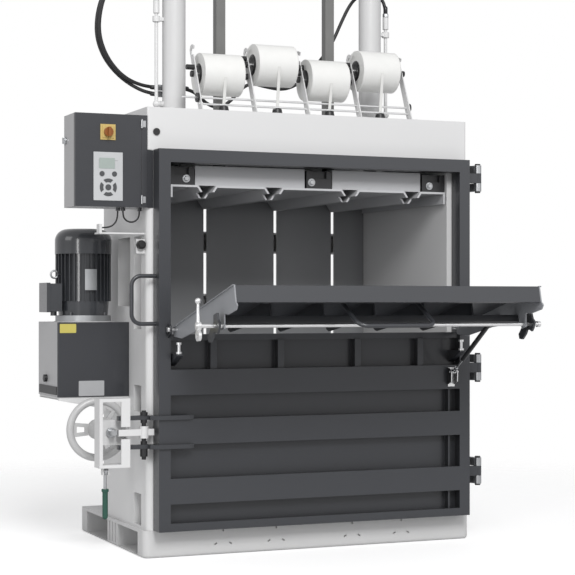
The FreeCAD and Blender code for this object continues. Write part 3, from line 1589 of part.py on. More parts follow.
def clamp_bar():
    """Square bar that swings on the upright pin and ends beside the spindle."""
    half = clamp_bar_size / 2
    boss_half = half + clamp_boss_rim
    y = lock_pin_y()
    right = -half_door - clamp_door_gap
    left = -lock_x + spindle_radius + clamp_spindle_gap
    bar = box(left, right, y - half, y + half, lock_height - half, lock_height + half)
    boss = rod(lock_pin_radius + clamp_boss_rim, (-lock_pin_x, y, lock_height - boss_half),
               (-lock_pin_x, y, lock_height + boss_half))
    bar = joined([bar, boss])
    return bar.cut(rod(lock_pin_radius + running_fit, (-lock_pin_x, y, lock_height - 2 * boss_half),
                       (-lock_pin_x, y, lock_height + 2 * boss_half)))


def lock_pin():
    """Upright black pin through both arms with nuts above and below each."""
    y = lock_pin_y()
    low = lock_height - lock_pin_ends[0]
    high = lock_height + lock_pin_ends[1]
    arm_low, arm_high = lock_arm_heights()
    half = lock_arm_thickness / 2
    pin = rod(lock_pin_radius, (-lock_pin_x, y, low), (-lock_pin_x, y, high))
    outer, inner = lock_nut_radii
    places = [(outer, arm_high + half, lock_nut_height), (outer, arm_low - half, -low_nut_height),
              (inner, arm_high - half, -lock_nut_height), (inner, arm_low + half, lock_nut_height)]
    nuts = [rod(radius, (-lock_pin_x, y, start), (-lock_pin_x, y, start + height)) for radius, start,
            height in places]
    return joined([pin] + nuts)


def release_lever():
    """Lever hanging under the lock frame, with a long grip on its lower end."""
    y = door_front + lock_front + lever_setback
    top = lock_height - lock_frame_height / 2 - lever_pin_drop
    x = -lever_x
    low = top - lever_length
    bar = rod(lever_rod_radius, (x, y, low + lever_grip_length), (x, y, top))
    eye = rod(lever_eye_radius, (x - lever_rod_radius, y, top), (x + lever_rod_radius, y, top))
    bar = joined([bar, eye]).cut(rod(lever_pin_radius + running_fit, (x - lever_fork_half, y, top),
                                     (x + lever_fork_half, y, top)))
    grip_top = low + lever_grip_length
    grip = joined([rod(lever_grip_radius, (x, y, low), (x, y, grip_top)),
                   Part.makeSphere(lever_grip_radius, Vector(x, y, low)),
                   rod(grip_collar_radius, (x, y, grip_top - grip_collar_height), (x, y, grip_top))])
    return group([bar, grip])


def lever_fork():
    """Fork with a pin under the lock frame that the hanging lever swings in."""
    y = door_front + lock_front + lever_setback
    low = lock_height - lock_frame_height / 2
    pin_z = low - lever_pin_drop
    x = -lever_x
    half = lever_eye_radius
    outer = lever_fork_half + lever_fork_sheet
    parts = [box(x + start, x + start + lever_fork_sheet, y - half, y + half, pin_z - half, low)
             for start in (-outer, lever_fork_half)]
    parts.append(rod(lever_pin_radius, (x - outer, y, pin_z), (x + outer, y, pin_z)))
    return parts


# ---------------------------------------------------------------- cabinet
def cabinet_body():
    left = cabinet_left
    right = -half_body
    front = body_front + cabinet_door_depth
    back = body_front + cabinet_depth
    high = cabinet_bottom + cabinet_height
    shell = box(left, right, front, back, cabinet_bottom, high)
    inside = box(left + cabinet_sheet, right - cabinet_sheet, front, back - cabinet_sheet,
                 cabinet_bottom + cabinet_sheet, high - cabinet_sheet)
    rim = box(left, left + cabinet_rim, front, front + cabinet_sheet, cabinet_bottom, high)
    strip = box(right - cabinet_strip, right, body_front, front, cabinet_bottom, high)
    glands = [rod(gland_radius, (x, cable_y, cabinet_bottom - gland_length), (x, cable_y, cabinet_bottom))
              for x in gland_columns]
    return joined([shell.cut(inside), rim, strip] + glands)


def cabinet_door():
    left = cabinet_left
    right = cabinet_hinge_x()
    back = body_front + cabinet_door_depth - touch_gap
    high = cabinet_bottom + cabinet_height
    door = box(left, right, body_front, back, cabinet_bottom, high)
    door = door.cut(box(left + cabinet_sheet, right - cabinet_sheet, body_front + cabinet_sheet, back,
                        cabinet_bottom + cabinet_sheet, high - cabinet_sheet))
    for low in cabinet_hinge_lows():
        pocket = rod(cabinet_pin_radius + cabinet_seam, (right, cabinet_hinge_y(), low - cabinet_seam),
                     (right, cabinet_hinge_y(), low + cabinet_pin_length + cabinet_seam))
        door = door.cut(pocket)
    return door


def cabinet_hinge_x():
    return -half_body - cabinet_strip - cabinet_seam


def cabinet_hinge_y():
    return body_front - cabinet_pin_radius


def cabinet_hinge_lows():
    return [cabinet_bottom + rise for rise in cabinet_hinge_rises]


def cabinet_hinges():
    """Zinc hinge pins in front of the seam, each on a small leaf of the fixed strip."""
    pins = []
    for low in cabinet_hinge_lows():
        high = low + cabinet_pin_length
        pin = rod(cabinet_pin_radius, (cabinet_hinge_x(), cabinet_hinge_y(), low),
                  (cabinet_hinge_x(), cabinet_hinge_y(), high))
        leaf = box(cabinet_hinge_x(), -half_body - cabinet_leaf_inset, body_front - cabinet_leaf_sheet,
                   body_front,
                   low + cabinet_leaf_margin, high - cabinet_leaf_margin)
        pins.append(joined([pin, leaf]))
    return group(pins)


def cabinet_lock():
    """Quarter-turn lock on the cabinet's left side."""
    x = cabinet_left
    y = body_front + cabinet_lock_setback
    z = cabinet_bottom + cabinet_lock_rise
    face = x - lock_disc_thickness
    length, thickness, height = lock_key
    return joined([rod(lock_disc_radius, (face - touch_gap, y, z), (x - touch_gap, y, z)),
                   box(face - length, face, y - thickness / 2, y + thickness / 2, z - height / 2,
                       z + height / 2)])


def switch_plate():
    x, z = switch_center
    half = switch_plate_size / 2
    inner = half - switch_boss_margin
    face = body_front - switch_plate_depth
    plate = box(x - half, x + half, face, body_front, z - half, z + half)
    boss = box(x - inner, x + inner, face - switch_boss_depth, face, z - inner, z + inner)
    return joined([plate, boss])


def switch_knob():
    x, z = switch_center
    face = body_front - switch_plate_depth - switch_boss_depth
    front = face - switch_base_depth
    half = switch_grip_half
    base = rod(switch_knob_radius, (x, face - touch_gap, z), (x, front, z))
    grip = box(x - half, x + half, front - switch_grip_depth, front + switch_grip_root,
               z - switch_knob_radius, z + switch_knob_radius)
    return joined([base, grip])


def keypad_panel():
    x, z = keypad_center
    half_x, half_z = keypad_size[0] / 2, keypad_size[1] / 2
    front = body_front - keypad_depth
    bed = front + display_recess
    panel = box(x - half_x, x + half_x, front, body_front, z - half_z, z + half_z)
    left, right = x - display_size[0] / 2, x + display_size[0] / 2
    low, high = z + display_lift - display_size[1] / 2, z + display_lift + display_size[1] / 2
    panel = panel.cut(box(left, right, front, bed, low, high))
    glass = box(left, right, bed - glass_thickness, bed, low, high)
    return group([panel, glass])


def keypad_keys():
    """Two round keys, a centre key and a ring of four arc-shaped keys."""
    x, z = keypad_center
    back = body_front - keypad_depth
    front = back - key_raise
    keys = [rod(round_key_radius, (x + side * round_key_spread / 2, front, z + round_key_lift),
                (x + side * round_key_spread / 2, back, z + round_key_lift)) for side in (-1, 1)]
    ring_z = z + arrow_ring_center
    keys.append(rod(center_key_radius, (x, front, ring_z), (x, back, ring_z)))
    ring = rod(arrow_ring_outer, (x, front, ring_z), (x, back, ring_z))
    ring = ring.cut(rod(arrow_ring_inner, (x, front, ring_z), (x, back, ring_z)))
    for turn in (45, 135):
        gap = box(-arrow_ring_outer - arrow_gap, arrow_ring_outer + arrow_gap, front, back, -arrow_gap / 2,
                  arrow_gap / 2)
        gap.rotate(Vector(0, 0, 0), Vector(0, 1, 0), turn)
        gap.translate(Vector(x, 0, ring_z))
        ring = ring.cut(gap)
    return group(keys + ring.Solids)


# from the cabinet down and left to the bracket on the side wall
cable_long_route = [(gland_columns[0], cable_y, cable_start), (gland_columns[0], cable_y,
                                                               cabinet_bottom - 38),
                    (gland_columns[0] - 12, cable_y, cabinet_bottom - 62),
                    (gland_columns[0] - 36, cable_y, cable_low), (cable_end, cable_y, cable_low)]

# short loop between two glands of the cabinet
loop_middle = (gland_columns[1] + gland_columns[2]) / 2
cable_loop_route = [(gland_columns[1], cable_y, cable_start), (gland_columns[1], cable_y,
                                                               cabinet_bottom - 31.5),
                    (gland_columns[1] + 12, cable_y, cabinet_bottom - 48),
                    (loop_middle, cable_y, cabinet_bottom - 54.4),
                    (gland_columns[2] - 12, cable_y, cabinet_bottom - 48),
                    (gland_columns[2], cable_y, cabinet_bottom - 31.5), (gland_columns[2], cable_y,
                                                                         cable_start)]


def cable_shelf():
    """Folded bracket on the side wall that the long cable ends on."""
    return joined([
        box(bracket_left, -half_body, cable_y + bracket_bed[0], cable_y + bracket_bed[1],
            bracket_top - bracket_height, bracket_top - bracket_height + bracket_sheet),
        box(bracket_left, cable_end, cable_y + bracket_end[0], cable_y + bracket_end[1],
            bracket_top - bracket_height, bracket_top),
    ])


# ---------------------------------------------------------------- power unit
def tank_body():
    left = -half_body - tank_width
    front = door_front + tank_front_setback + tank_cover
    back = front + tank_depth - tank_cover
    top = tank_bottom + tank_height
    tank = box(left, -half_body, front, back, tank_bottom, top)
    tank = tank.makeFillet(tank_edge_radius, upright_edges(tank, left, back))
    y = motor_axis_y()
    rim = cone(motor_rim_radii[0], motor_rim_radii[1], (-motor_x, y, top), (-motor_x, y, top + motor_rim))
    return joined([tank, rim])


def tank_front():
    left = -half_body - tank_width
    front = door_front + tank_front_setback
    cover = box(left, -half_body, front, front + tank_cover, tank_bottom, tank_bottom + tank_height)
    return cover.makeFillet(cover_edge_radius, upright_edges(cover, left, front))


def tank_shelf():
    """Folded shelf on the side wall under the tank with a leaning web at each end."""
    left = -half_body - tank_width + shelf_margin
    front = door_front + tank_front_setback + shelf_margin
    back = front + tank_depth - shelf_back_margin
    top = tank_bottom
    parts = [box(left, -half_body, front, back, top - shelf_thickness, top)]
    for y in (front, back - shelf_thickness):
        outline = [(left, top), (-half_body, top), (-half_body, top - shelf_drop), (left, top - shelf_nose)]
        parts.append(along_y(outline, y, y + shelf_thickness))
    return joined(parts)


def motor_axis_y():
    return door_front + motor_setback


def motor_foot():
    return tank_bottom + tank_height + motor_rim


def motor_body():
    """Flange-mounted motor: bell housing with four bolts and a ring of cooling fins."""
    y = motor_axis_y()
    x = -motor_x
    low = motor_foot()
    bell_top = low + motor_flange + motor_bell
    top = bell_top + motor_body_height
    parts = [rod(motor_flange_radius, (x, y, low), (x, y, low + motor_flange)),
             cone(motor_bell_radii[0], motor_bell_radii[1], (x, y, low + motor_flange), (x, y, bell_top)),
             rod(motor_body_radius, (x, y, bell_top), (x, y, top))]
    for index in range(fin_count):
        fin = box(motor_body_radius - fin_root, motor_fin_radius, -fin_thickness / 2, fin_thickness / 2,
                  bell_top, top)
        fin.rotate(Vector(0, 0, 0), Vector(0, 0, 1), 360 * index / fin_count)
        fin.translate(Vector(x, y, 0))
        parts.append(fin)
    for turn in motor_bolt_turns:
        bolt = rod(motor_bolt_radius, (motor_bell_radii[0], 0, low + motor_flange),
                   (motor_bell_radii[0], 0, low + motor_flange + motor_bolt_height))
        bolt.rotate(Vector(0, 0, 0), Vector(0, 0, 1), turn)
        bolt.translate(Vector(x, y, 0))
        parts.append(bolt)
    side = x - motor_fin_radius
    eye_y = y - eye_ring_offset
    eye_z = low + eye_ring_rise
    eye = Part.makeTorus(eye_ring_radii[0], eye_ring_radii[1], Vector(side - eye_ring_reach, eye_y, eye_z),
                         Vector(0, 1, 0))
    shank = rod(eye_shank_radius, (side + eye_shank_span[0], eye_y, eye_z),
                (side - eye_shank_span[1], eye_y, eye_z))
    return joined(parts + [eye, shank])


def fan_cowl():
    y = motor_axis_y()
    x = -motor_x
    low = motor_foot() + motor_flange + motor_bell + motor_body_height
    cowl = rod(motor_cowl_radius, (x, y, low), (x, y, low + motor_cowl_height))
    top_edges = [edge for edge in cowl.Edges if abs(edge.CenterOfMass.z - low - motor_cowl_height) < 0.01]
    return cowl.makeFillet(motor_cowl_round, top_edges)


def terminal_box():
    y = motor_axis_y()
    width, depth, height = box_size
    low = motor_foot() + box_rise
    right = -motor_x - motor_body_radius - box_gap
    left = right - width
    rim = box_lid_rim
    body = box(left + box_lid, right, y - depth / 2, y + depth / 2, low, low + height)
    lid = box(left, left + box_lid, y - depth / 2 - rim, y + depth / 2 + rim, low - rim, low + height + rim)
    gland_x = right - box_gland_place[0]
    gland_y = y - box_gland_place[1]
    gland = rod(box_gland_radius, (gland_x, gland_y, low - box_gland_length), (gland_x, gland_y, low))
    whole = joined([body, lid, gland])
    return whole.cut(rod(motor_fin_radius + touch_gap, (-motor_x, y, low - height),
                         (-motor_x, y, low + 2 * height)))


def black_caps():
    """Black plastic pieces of the body: head plug, sensor, hinge caps, strap inlets, drain plug."""
    caps = hinge_caps() + [strap_inlet(x) for x in roll_columns]
    plug_x = -half_body + plug_inset
    plug_z = chamber_top + plug_rise
    caps.append(rod(plug_radius, (plug_x, body_front - plug_height, plug_z), (plug_x, body_front, plug_z)))
    x = -half_body - sensor_reach
    y = door_front + sensor_setback
    neck = y - sensor_length
    caps.append(joined([rod(sensor_radius, (x, neck, sensor_height), (x, y, sensor_height)),
                        rod(sensor_nose_radius, (x, neck - sensor_nose, sensor_height),
                            (x, neck, sensor_height))]))
    tank_left = -half_body - tank_width
    tank_y = door_front + tank_front_setback
    drain_y = tank_y + drain_setback
    drain_z = tank_bottom + drain_rise
    caps.append(rod(drain_radius, (tank_left - drain_length, drain_y, drain_z),
                    (tank_left, drain_y, drain_z)))
    caps.append(box(tank_left - tank_strip_depth, tank_left, tank_y + tank_strip_insets[0],
                    tank_y + tank_depth - tank_strip_insets[1],
                    tank_bottom + tank_strip_rises[0], tank_bottom + tank_strip_rises[1]))
    return group(caps)


# ---------------------------------------------------------------- all pieces
nodes = {
    "base_frame": base_frame(),
    "side_wall_left": joined([side_wall(), sensor_bracket(), cable_shelf()]),
    "side_wall_right": mirrored(side_wall()),
    "rear_wall": rear_wall(),
    "chamber_floor": chamber_floor(),
    "head_beam": head_beam(),
    "hydraulic_cylinders": group([hydraulic_cylinder(-1), hydraulic_cylinder(1)]),
    "piston_rods": group([piston_rod(-1), piston_rod(1)]),
    "guide_bars": group([guide_bar(-1), guide_bar(1)]),
    "guide_bushes": group([guide_bush(-1), guide_bush(1)]),
    "press_plate": press_plate(),
    "guide_shoes": guide_shoes(),
    "strap_arms": group(strap_arms()),
    "strap_rods": strap_rods(),
    "strap_knobs": strap_knobs(),
    "strap_tails": group([strap_tail(index) for index in range(len(roll_columns))]),
    "hard_pipes": group([hard_pipe(-1), hard_pipe(1)]),
    "hose_manifold": group([manifold(), top_elbow()]),
    "hose_loop": loose_tube("hose_loop", hose_loop_route, hose_radius),
    "hose_tall": loose_tube("hose_tall", hose_tall_route, hose_radius),
    "hose_right": loose_tube("hose_right", hose_right_route, hose_radius),
    "door_frame": door_frame(),
    "door_hinges": door_hinges(),
    "door_handle": door_handle(),
    "door_fittings": door_fittings(),
    "flap_panel": flap_panel(),
    "flap_cheeks": group([flap_cheek(-1), flap_cheek(1)]),
    "flap_handle": flap_handle(),
    "latch_rod": latch_rod(),
    "latch_claws": group([latch_claw(-1), latch_claw(1)]),
    "latch_lever": latch_lever(),
    "strut_cylinder": strut_cylinder(),
    "strut_rod": strut_rod(),
    "lock_frame": joined([lock_frame()] + lever_fork()),
    "handwheel": handwheel(),
    "lock_spindle": lock_spindle(),
    "clamp_bar": clamp_bar(),
    "lock_pin": lock_pin(),
    "release_lever": release_lever(),
    "cabinet_body": cabinet_body(),
    "cabinet_door": cabinet_door(),
    "cabinet_hinges": cabinet_hinges(),
    "cabinet_lock": cabinet_lock(),
    "switch_plate": switch_plate(),
    "switch_knob": switch_knob(),
    "keypad_panel": keypad_panel(),
    "keypad_keys": keypad_keys(),
    "cable_long": loose_tube("cable_long", cable_long_route, cable_radius),
    "cable_loop": loose_tube("cable_loop", cable_loop_route, cable_radius),
    "tank_body": tank_body(),
    "tank_front": tank_front(),
    "tank_shelf": tank_shelf(),
    "motor_body": motor_body(),
    "fan_cowl": fan_cowl(),
    "terminal_box": terminal_box(),
    "black_caps": black_caps(),
}
for index in range(len(roll_columns)):
    nodes["strap_roll_" + str(index + 1)] = strap_roll(index)

for name, shape in nodes.items():
    save(name, shape)
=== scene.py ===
import math

import bmesh
import bpy
from mathutils import Matrix, Vector


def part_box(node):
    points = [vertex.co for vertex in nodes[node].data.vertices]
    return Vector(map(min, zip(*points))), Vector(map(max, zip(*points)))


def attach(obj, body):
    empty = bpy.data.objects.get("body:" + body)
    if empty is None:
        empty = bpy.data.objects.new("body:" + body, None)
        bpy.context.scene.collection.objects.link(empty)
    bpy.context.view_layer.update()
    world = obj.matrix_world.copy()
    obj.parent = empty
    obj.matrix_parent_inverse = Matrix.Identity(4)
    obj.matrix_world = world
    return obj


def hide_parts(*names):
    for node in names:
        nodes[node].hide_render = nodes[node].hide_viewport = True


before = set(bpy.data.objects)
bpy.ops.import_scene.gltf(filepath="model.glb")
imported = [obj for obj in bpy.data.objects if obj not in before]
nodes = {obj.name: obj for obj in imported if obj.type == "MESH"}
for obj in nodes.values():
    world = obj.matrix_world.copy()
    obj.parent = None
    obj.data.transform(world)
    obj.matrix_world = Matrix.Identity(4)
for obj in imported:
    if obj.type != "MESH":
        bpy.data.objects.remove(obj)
scene = bpy.context.scene
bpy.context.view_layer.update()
print("stage: frame loaded")


view = {"place": (-2.582, -6.196, 0.944), "tilt": 90.0, "turn": 23.14, "lens": 103.617, "sensor": 36.0,
        "shiftY": 0.0252}
camera = bpy.data.objects.new("camera", bpy.data.cameras.new("camera"))
scene.collection.objects.link(camera)
camera.data.lens = view["lens"]
camera.data.sensor_width = view["sensor"]
camera.data.shift_y = view["shiftY"]  # the horizon lies a little under the middle
camera.location = view["place"]
camera.rotation_euler = (math.radians(view["tilt"]), 0, math.radians(-view["turn"]))
scene.camera = camera
scene.view_settings.view_transform = "Standard"


class Val:
    def __init__(self, mat, socket):
        self.mat = mat
        self.socket = socket

    def math(self, kind, other=None, flip=False):
        made = self.mat.tree.nodes.new("ShaderNodeMath")
        made.operation = kind
        pair = (other, self) if flip else (self, other)
        for slot, item in zip(made.inputs, pair):
            if item is not None:
                self.mat.feed(slot, item)
        return Val(self.mat, made.outputs[0])

    def __add__(self, other):
        return self.math("ADD", other)

    def __radd__(self, other):
        return self.math("ADD", other, True)

    def __sub__(self, other):
        return self.math("SUBTRACT", other)

    def __rsub__(self, other):
        return self.math("SUBTRACT", other, True)

    def __mul__(self, other):
        return self.math("MULTIPLY", other)

    def __rmul__(self, other):
        return self.math("MULTIPLY", other, True)

    def __truediv__(self, other):
        return self.math("DIVIDE", other)

    def __rtruediv__(self, other):
        return self.math("DIVIDE", other, True)

    def __pow__(self, other):
        return self.math("POWER", other)

    def __rpow__(self, other):
        return self.math("POWER", other, True)

    def clamped(self):
        return self.math("MAXIMUM", 0.0).math("MINIMUM", 1.0)


samples = {"bevel": 4, "shadeByOpenness": 6}
mixSlots = {"factor": 0, "first": 6, "second": 7, "color": 2}  # sockets of a Mix node set to colours


class Mat:
    def __init__(self, name):
        self.material = bpy.data.materials.new(name)
        self.material.use_nodes = True
        self.tree = self.material.node_tree
        self.shader = next(n for n in self.tree.nodes if n.type == "BSDF_PRINCIPLED")
        self.place = self.node("ShaderNodeTexCoord", output="Object")

    def feed(self, slot, item):
        if isinstance(item, Val):
            self.tree.links.new(item.socket, slot)
        else:
            slot.default_value = item

    def node(self, kind, settings=None, values=None, output=0):
        made = self.tree.nodes.new(kind)
        for key, value in (settings or {}).items():
            setattr(made, key, value)
        for key, value in (values or {}).items():
            self.feed(made.inputs[key], value)
        return Val(self, made.outputs[output])

    def stretched(self, scale):
        return self.node("ShaderNodeVectorMath", {"operation": "MULTIPLY"}, {0: self.place, 1: scale})

    def noise(self, scale, detail=3.0, rough=0.5, place=None):
        values = {"Vector": place or self.place, "Scale": scale, "Detail": detail, "Roughness": rough}
        return self.node("ShaderNodeTexNoise", None, values)

    def axes(self):
        made = self.tree.nodes.new("ShaderNodeSeparateXYZ")
        self.feed(made.inputs[0], self.place)
        return [Val(self, made.outputs[i]) for i in range(3)]

    def blended(self, factor, first, second):
        values = {mixSlots["factor"]: factor, mixSlots["first"]: first, mixSlots["second"]: second}
        return self.node("ShaderNodeMix", {"data_type": "RGBA"}, values, mixSlots["color"])

    def put(self, **values):
        for key, value in values.items():
            self.feed(self.shader.inputs[key.replace("_", " ")], value)

    def bumped(self, height, distance, edge=0.0):
        values = {"Height": height, "Distance": distance, "Strength": 1.0}
        if edge:
            values["Normal"] = self.node("ShaderNodeBevel", {"samples": samples["bevel"]}, {"Radius": edge})
        self.put(Normal=self.node("ShaderNodeBump", None, values))


def shade(color, factor):
    return (color[0] * factor, color[1] * factor, color[2] * factor, 1.0)


def shades(color, factors):
    return [shade(color, factor) for factor in factors]


paintGrain = {  # each noise as its scale and detail
    "cloud": (2.3, 4.0), "fine": (60.0, 3.0), "peel": (420.0, 2.0), "spread": 0.12, "fineShare": 0.6}


# creaseShade sets how much painted shade darkens the creases and recesses
def paint(name, color, rough, edge=0.002, peel=0.00012, coat=0.15, tone=0.05, creaseShade=0.2, gloss=0.25,
          reach=0.07):
    mat = Mat(name)
    cloud, fine, peelNoise = [mat.noise(*paintGrain[kind]) for kind in ("cloud", "fine", "peel")]
    settings = {"samples": samples["shadeByOpenness"]}
    shadeByOpenness = mat.node("ShaderNodeAmbientOcclusion", settings, {"Distance": reach}, "AO")
    even = mat.blended(cloud, *shades(color, (1 - tone, 1 + tone)))
    mat.put(Base_Color=mat.blended(shadeByOpenness, shade(color, 1 - creaseShade), even))  # painted shade: darker in the creases and recesses, where ambient occlusion finds them
    mat.put(Roughness=rough - paintGrain["spread"] / 2 + fine * paintGrain["spread"])
    mat.put(Coat_Weight=coat, Coat_Roughness=gloss)
    mat.bumped(peelNoise + fine * paintGrain["fineShare"], peel, edge)
    return mat.material


metalGrain = {
    "detail": 4.0, "breakUp": 0.65, "cloud": (14.0, 3.0), "shades": (0.88, 1.06),
    "low": 0.1, "lineSpread": 0.16, "cloudSpread": 0.06, "depth": 0.00008}


def metal(name, color, rough, grain, edge=0.001, streak=(1.0, 1.0, 1.0)):
    mat = Mat(name)
    lines = mat.noise(grain, metalGrain["detail"], metalGrain["breakUp"], mat.stretched(streak))
    cloud = mat.noise(*metalGrain["cloud"])
    mat.put(Base_Color=mat.blended(cloud, *shades(color, metalGrain["shades"])), Metallic=1.0)
    lowest = rough - metalGrain["low"]
    mat.put(Roughness=lowest + lines * metalGrain["lineSpread"] + cloud * metalGrain["cloudSpread"])
    mat.bumped(lines, metalGrain["depth"], edge)
    return mat.material


moldedGrain = {"detail": 2.0, "cloud": (9.0, 3.0), "shades": (0.9, 1.1), "spread": 0.1}


def molded(name, color, rough, grain=900.0, depth=0.00006, edge=0.0012):
    mat = Mat(name)
    fine = mat.noise(grain, moldedGrain["detail"])
    cloud = mat.noise(*moldedGrain["cloud"])
    mat.put(Base_Color=mat.blended(cloud, *shades(color, moldedGrain["shades"])))
    mat.put(Roughness=rough - moldedGrain["spread"] / 2 + cloud * moldedGrain["spread"])
    mat.bumped(fine, depth, edge)
    return mat.material


rubberGrain = {
    "wrap": (700.0, 2.0), "stretch": (1.0, 1.0, 0.35), "cloud": (25.0, 3.0), "shades": (0.8, 1.3),
    "rough": 0.38, "spread": 0.14, "depth": 0.00012}


def rubber(name, color):
    mat = Mat(name)
    wrap = mat.noise(*rubberGrain["wrap"], place=mat.stretched(rubberGrain["stretch"]))
    cloud = mat.noise(*rubberGrain["cloud"])
    mat.put(Base_Color=mat.blended(cloud, *shades(color, rubberGrain["shades"])))
    mat.put(Roughness=rubberGrain["rough"] + wrap * rubberGrain["spread"])
    mat.bumped(wrap, rubberGrain["depth"])
    return mat.material


looks = {
    "white": paint("white_paint", (0.80, 0.80, 0.80), rough=0.42, tone=0.015),
    "baseWhite": paint("base_paint", (0.68, 0.68, 0.68), rough=0.45, tone=0.03),
    "wheelWhite": paint("wheel_paint", (0.58, 0.58, 0.58), rough=0.35, tone=0.03, coat=0.3),
    # painted shade: the chamber floor and the rear wall's inner face are dark grey, standing for the shade
    # deep in the chamber
    "chamberShadeGrey": paint("chamber_shade_grey", (0.30, 0.305, 0.315), rough=0.45, tone=0.06, creaseShade=0.5),
    "grey": paint("grey_paint", (0.52, 0.52, 0.525), rough=0.42, tone=0.025),
    "plateGrey": paint("plate_grey", (0.62, 0.625, 0.64), rough=0.42, tone=0.04),
    "cheekGrey": paint("cheek_grey", (0.34, 0.35, 0.37), rough=0.42, tone=0.03),
    "cylinderWhite": paint("cylinder_paint", (0.70, 0.70, 0.70), rough=0.40, tone=0.02),
    # the anthracite gets the strongest painted shade, reaching deep into the door's recesses
    "dark": paint("anthracite_paint", (0.040, 0.0425, 0.049), rough=0.40, tone=0.07, coat=0.4, creaseShade=0.8,
                  gloss=0.16, reach=0.15),
    "boxDark": paint("cabinet_paint", (0.032, 0.034, 0.040), rough=0.38, tone=0.07, coat=0.4, creaseShade=0.5,
                     gloss=0.14),
    "motor": paint("motor_paint", (0.040, 0.043, 0.049), rough=0.24, edge=0.0015, peel=0.00008, coat=0.8,
                   gloss=0.1),
    "zinc": metal("zinc_plate", (0.52, 0.53, 0.54), rough=0.34, grain=260.0),
    "bright": metal("bright_zinc", (0.90, 0.90, 0.90), rough=0.30, grain=200.0),
    "castSteel": metal("cast_steel", (0.45, 0.46, 0.47), rough=0.42, grain=120.0),
    "guide": metal("guide_steel", (0.20, 0.20, 0.195), rough=0.36, grain=60.0, streak=(8.0, 8.0, 0.4)),
    "chrome": metal("rod_chrome", (0.62, 0.63, 0.64), rough=0.16, grain=400.0, streak=(0.4, 0.4, 4.0)),
    "black": molded("black_plastic", (0.018, 0.018, 0.019), rough=0.40),
    "blackSteel": paint("black_steel", (0.020, 0.020, 0.022), rough=0.35, coat=0.1),
    "rubber": rubber("hose_rubber", (0.014, 0.014, 0.015)),
    "green": molded("grip_green", (0.020, 0.085, 0.060), rough=0.50),
    "yellow": molded("switch_yellow", (0.62, 0.46, 0.16), rough=0.35),
    "plateYellow": molded("plate_yellow", (0.62, 0.54, 0.13), rough=0.40),
    "red": molded("switch_red", (0.30, 0.10, 0.02), rough=0.30),
    "membrane": molded("membrane_white", (0.60, 0.61, 0.62), rough=0.40),
    "display": molded("display_pale", (0.42, 0.48, 0.45), rough=0.18, depth=0.00001),
    "keys": molded("key_dark", (0.075, 0.078, 0.082), rough=0.42),
    "bare": molded("plate_bare", (0.46, 0.465, 0.475), rough=0.40),
}


cords = {  # points in metres, from the manifold or the cabinet to the far end
    "hose_loop": {
        "diameter": 0.014, "length": 0.845, "lay": "hanging", "stiffness": "stiff",
        "points": [
            (-0.445, 0.090, 1.801), (-0.501, 0.090, 1.801), (-0.576, 0.082, 1.819), (-0.635, 0.076, 1.858),
            (-0.687, 0.068, 1.924), (-0.715, 0.058, 2.008), (-0.709, 0.042, 2.103), (-0.681, 0.026, 2.183),
            (-0.622, 0.006, 2.244), (-0.550, -0.012, 2.246), (-0.502, -0.018, 2.195),
            (-0.502, -0.018, 2.128)]},
    "hose_tall": {
        "diameter": 0.014, "length": 1.346, "lay": "hanging", "stiffness": "stiff",
        "points": [
            (-0.445, 0.090, 1.775), (-0.497, 0.090, 1.775), (-0.570, 0.098, 1.806), (-0.632, 0.102, 1.852),
            (-0.681, 0.104, 1.912), (-0.709, 0.106, 1.987), (-0.709, 0.106, 2.069), (-0.687, 0.104, 2.155),
            (-0.643, 0.100, 2.239), (-0.581, 0.094, 2.317), (-0.512, 0.088, 2.405), (-0.466, 0.084, 2.503),
            (-0.442, 0.080, 2.613), (-0.429, 0.077, 2.729), (-0.429, 0.077, 2.898)]},
    "hose_right": {
        "diameter": 0.014, "length": 1.265, "lay": "hanging", "stiffness": "stiff",
        "points": [
            (-0.376, 0.090, 1.803), (-0.311, 0.090, 1.803), (-0.243, 0.090, 1.735), (-0.169, 0.090, 1.735),
            (-0.077, 0.090, 1.845), (0.016, 0.090, 1.825), (0.092, 0.090, 1.819), (0.160, 0.090, 1.851),
            (0.222, 0.090, 1.913), (0.280, 0.090, 1.983), (0.318, 0.092, 2.045), (0.352, 0.095, 2.117),
            (0.392, 0.100, 2.191), (0.418, 0.076, 2.227), (0.453, 0.041, 2.238), (0.485, 0.005, 2.219),
            (0.502, -0.018, 2.178), (0.502, -0.018, 2.128)]},
    "cable_long": {
        "diameter": 0.006, "length": 0.105, "lay": "hanging", "stiffness": "medium",
        "points": [
            (-0.768, -0.365, 1.279), (-0.768, -0.365, 1.253), (-0.780, -0.365, 1.229),
            (-0.804, -0.365, 1.216), (-0.831, -0.365, 1.216)]},
    "cable_loop": {
        "diameter": 0.006, "length": 0.118, "lay": "hanging", "stiffness": "medium",
        "points": [
            (-0.748, -0.365, 1.279), (-0.748, -0.365, 1.2595), (-0.736, -0.365, 1.243),
            (-0.7165, -0.365, 1.2366), (-0.697, -0.365, 1.243), (-0.685, -0.365, 1.2595),
            (-0.685, -0.365, 1.279)]},
}


tube = {"order": 3, "steps": 10, "roundness": 5}


def cordCurve(name, settings):
    curve = bpy.data.curves.new(name + "_line", "CURVE")
    curve.dimensions = "3D"
    curve.bevel_depth = settings["diameter"] / 2
    curve.bevel_resolution = tube["roundness"]
    curve.resolution_u = tube["steps"]
    curve.use_fill_caps = True
    spline = curve.splines.new("NURBS")
    spline.points.add(len(settings["points"]) - 1)
    for point, place in zip(spline.points, settings["points"]):
        point.co = (*place, 1.0)  # the last number is the point's weight
    spline.order_u = tube["order"]
    spline.use_endpoint_u = True
    piece = bpy.data.objects.new(name + "_tube", curve)
    scene.collection.objects.link(piece)
    curve.materials.append(looks["rubber"])
    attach(piece, "frame")
    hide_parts(name)


for name, settings in cords.items():
    cordCurve(name, settings)
print("stage: cords")


def give(name, *materials):
    mesh = nodes[name].data
    mesh.materials.clear()
    for material in materials:
        mesh.materials.append(material)
    for face in mesh.polygons:
        face.material_index = 0


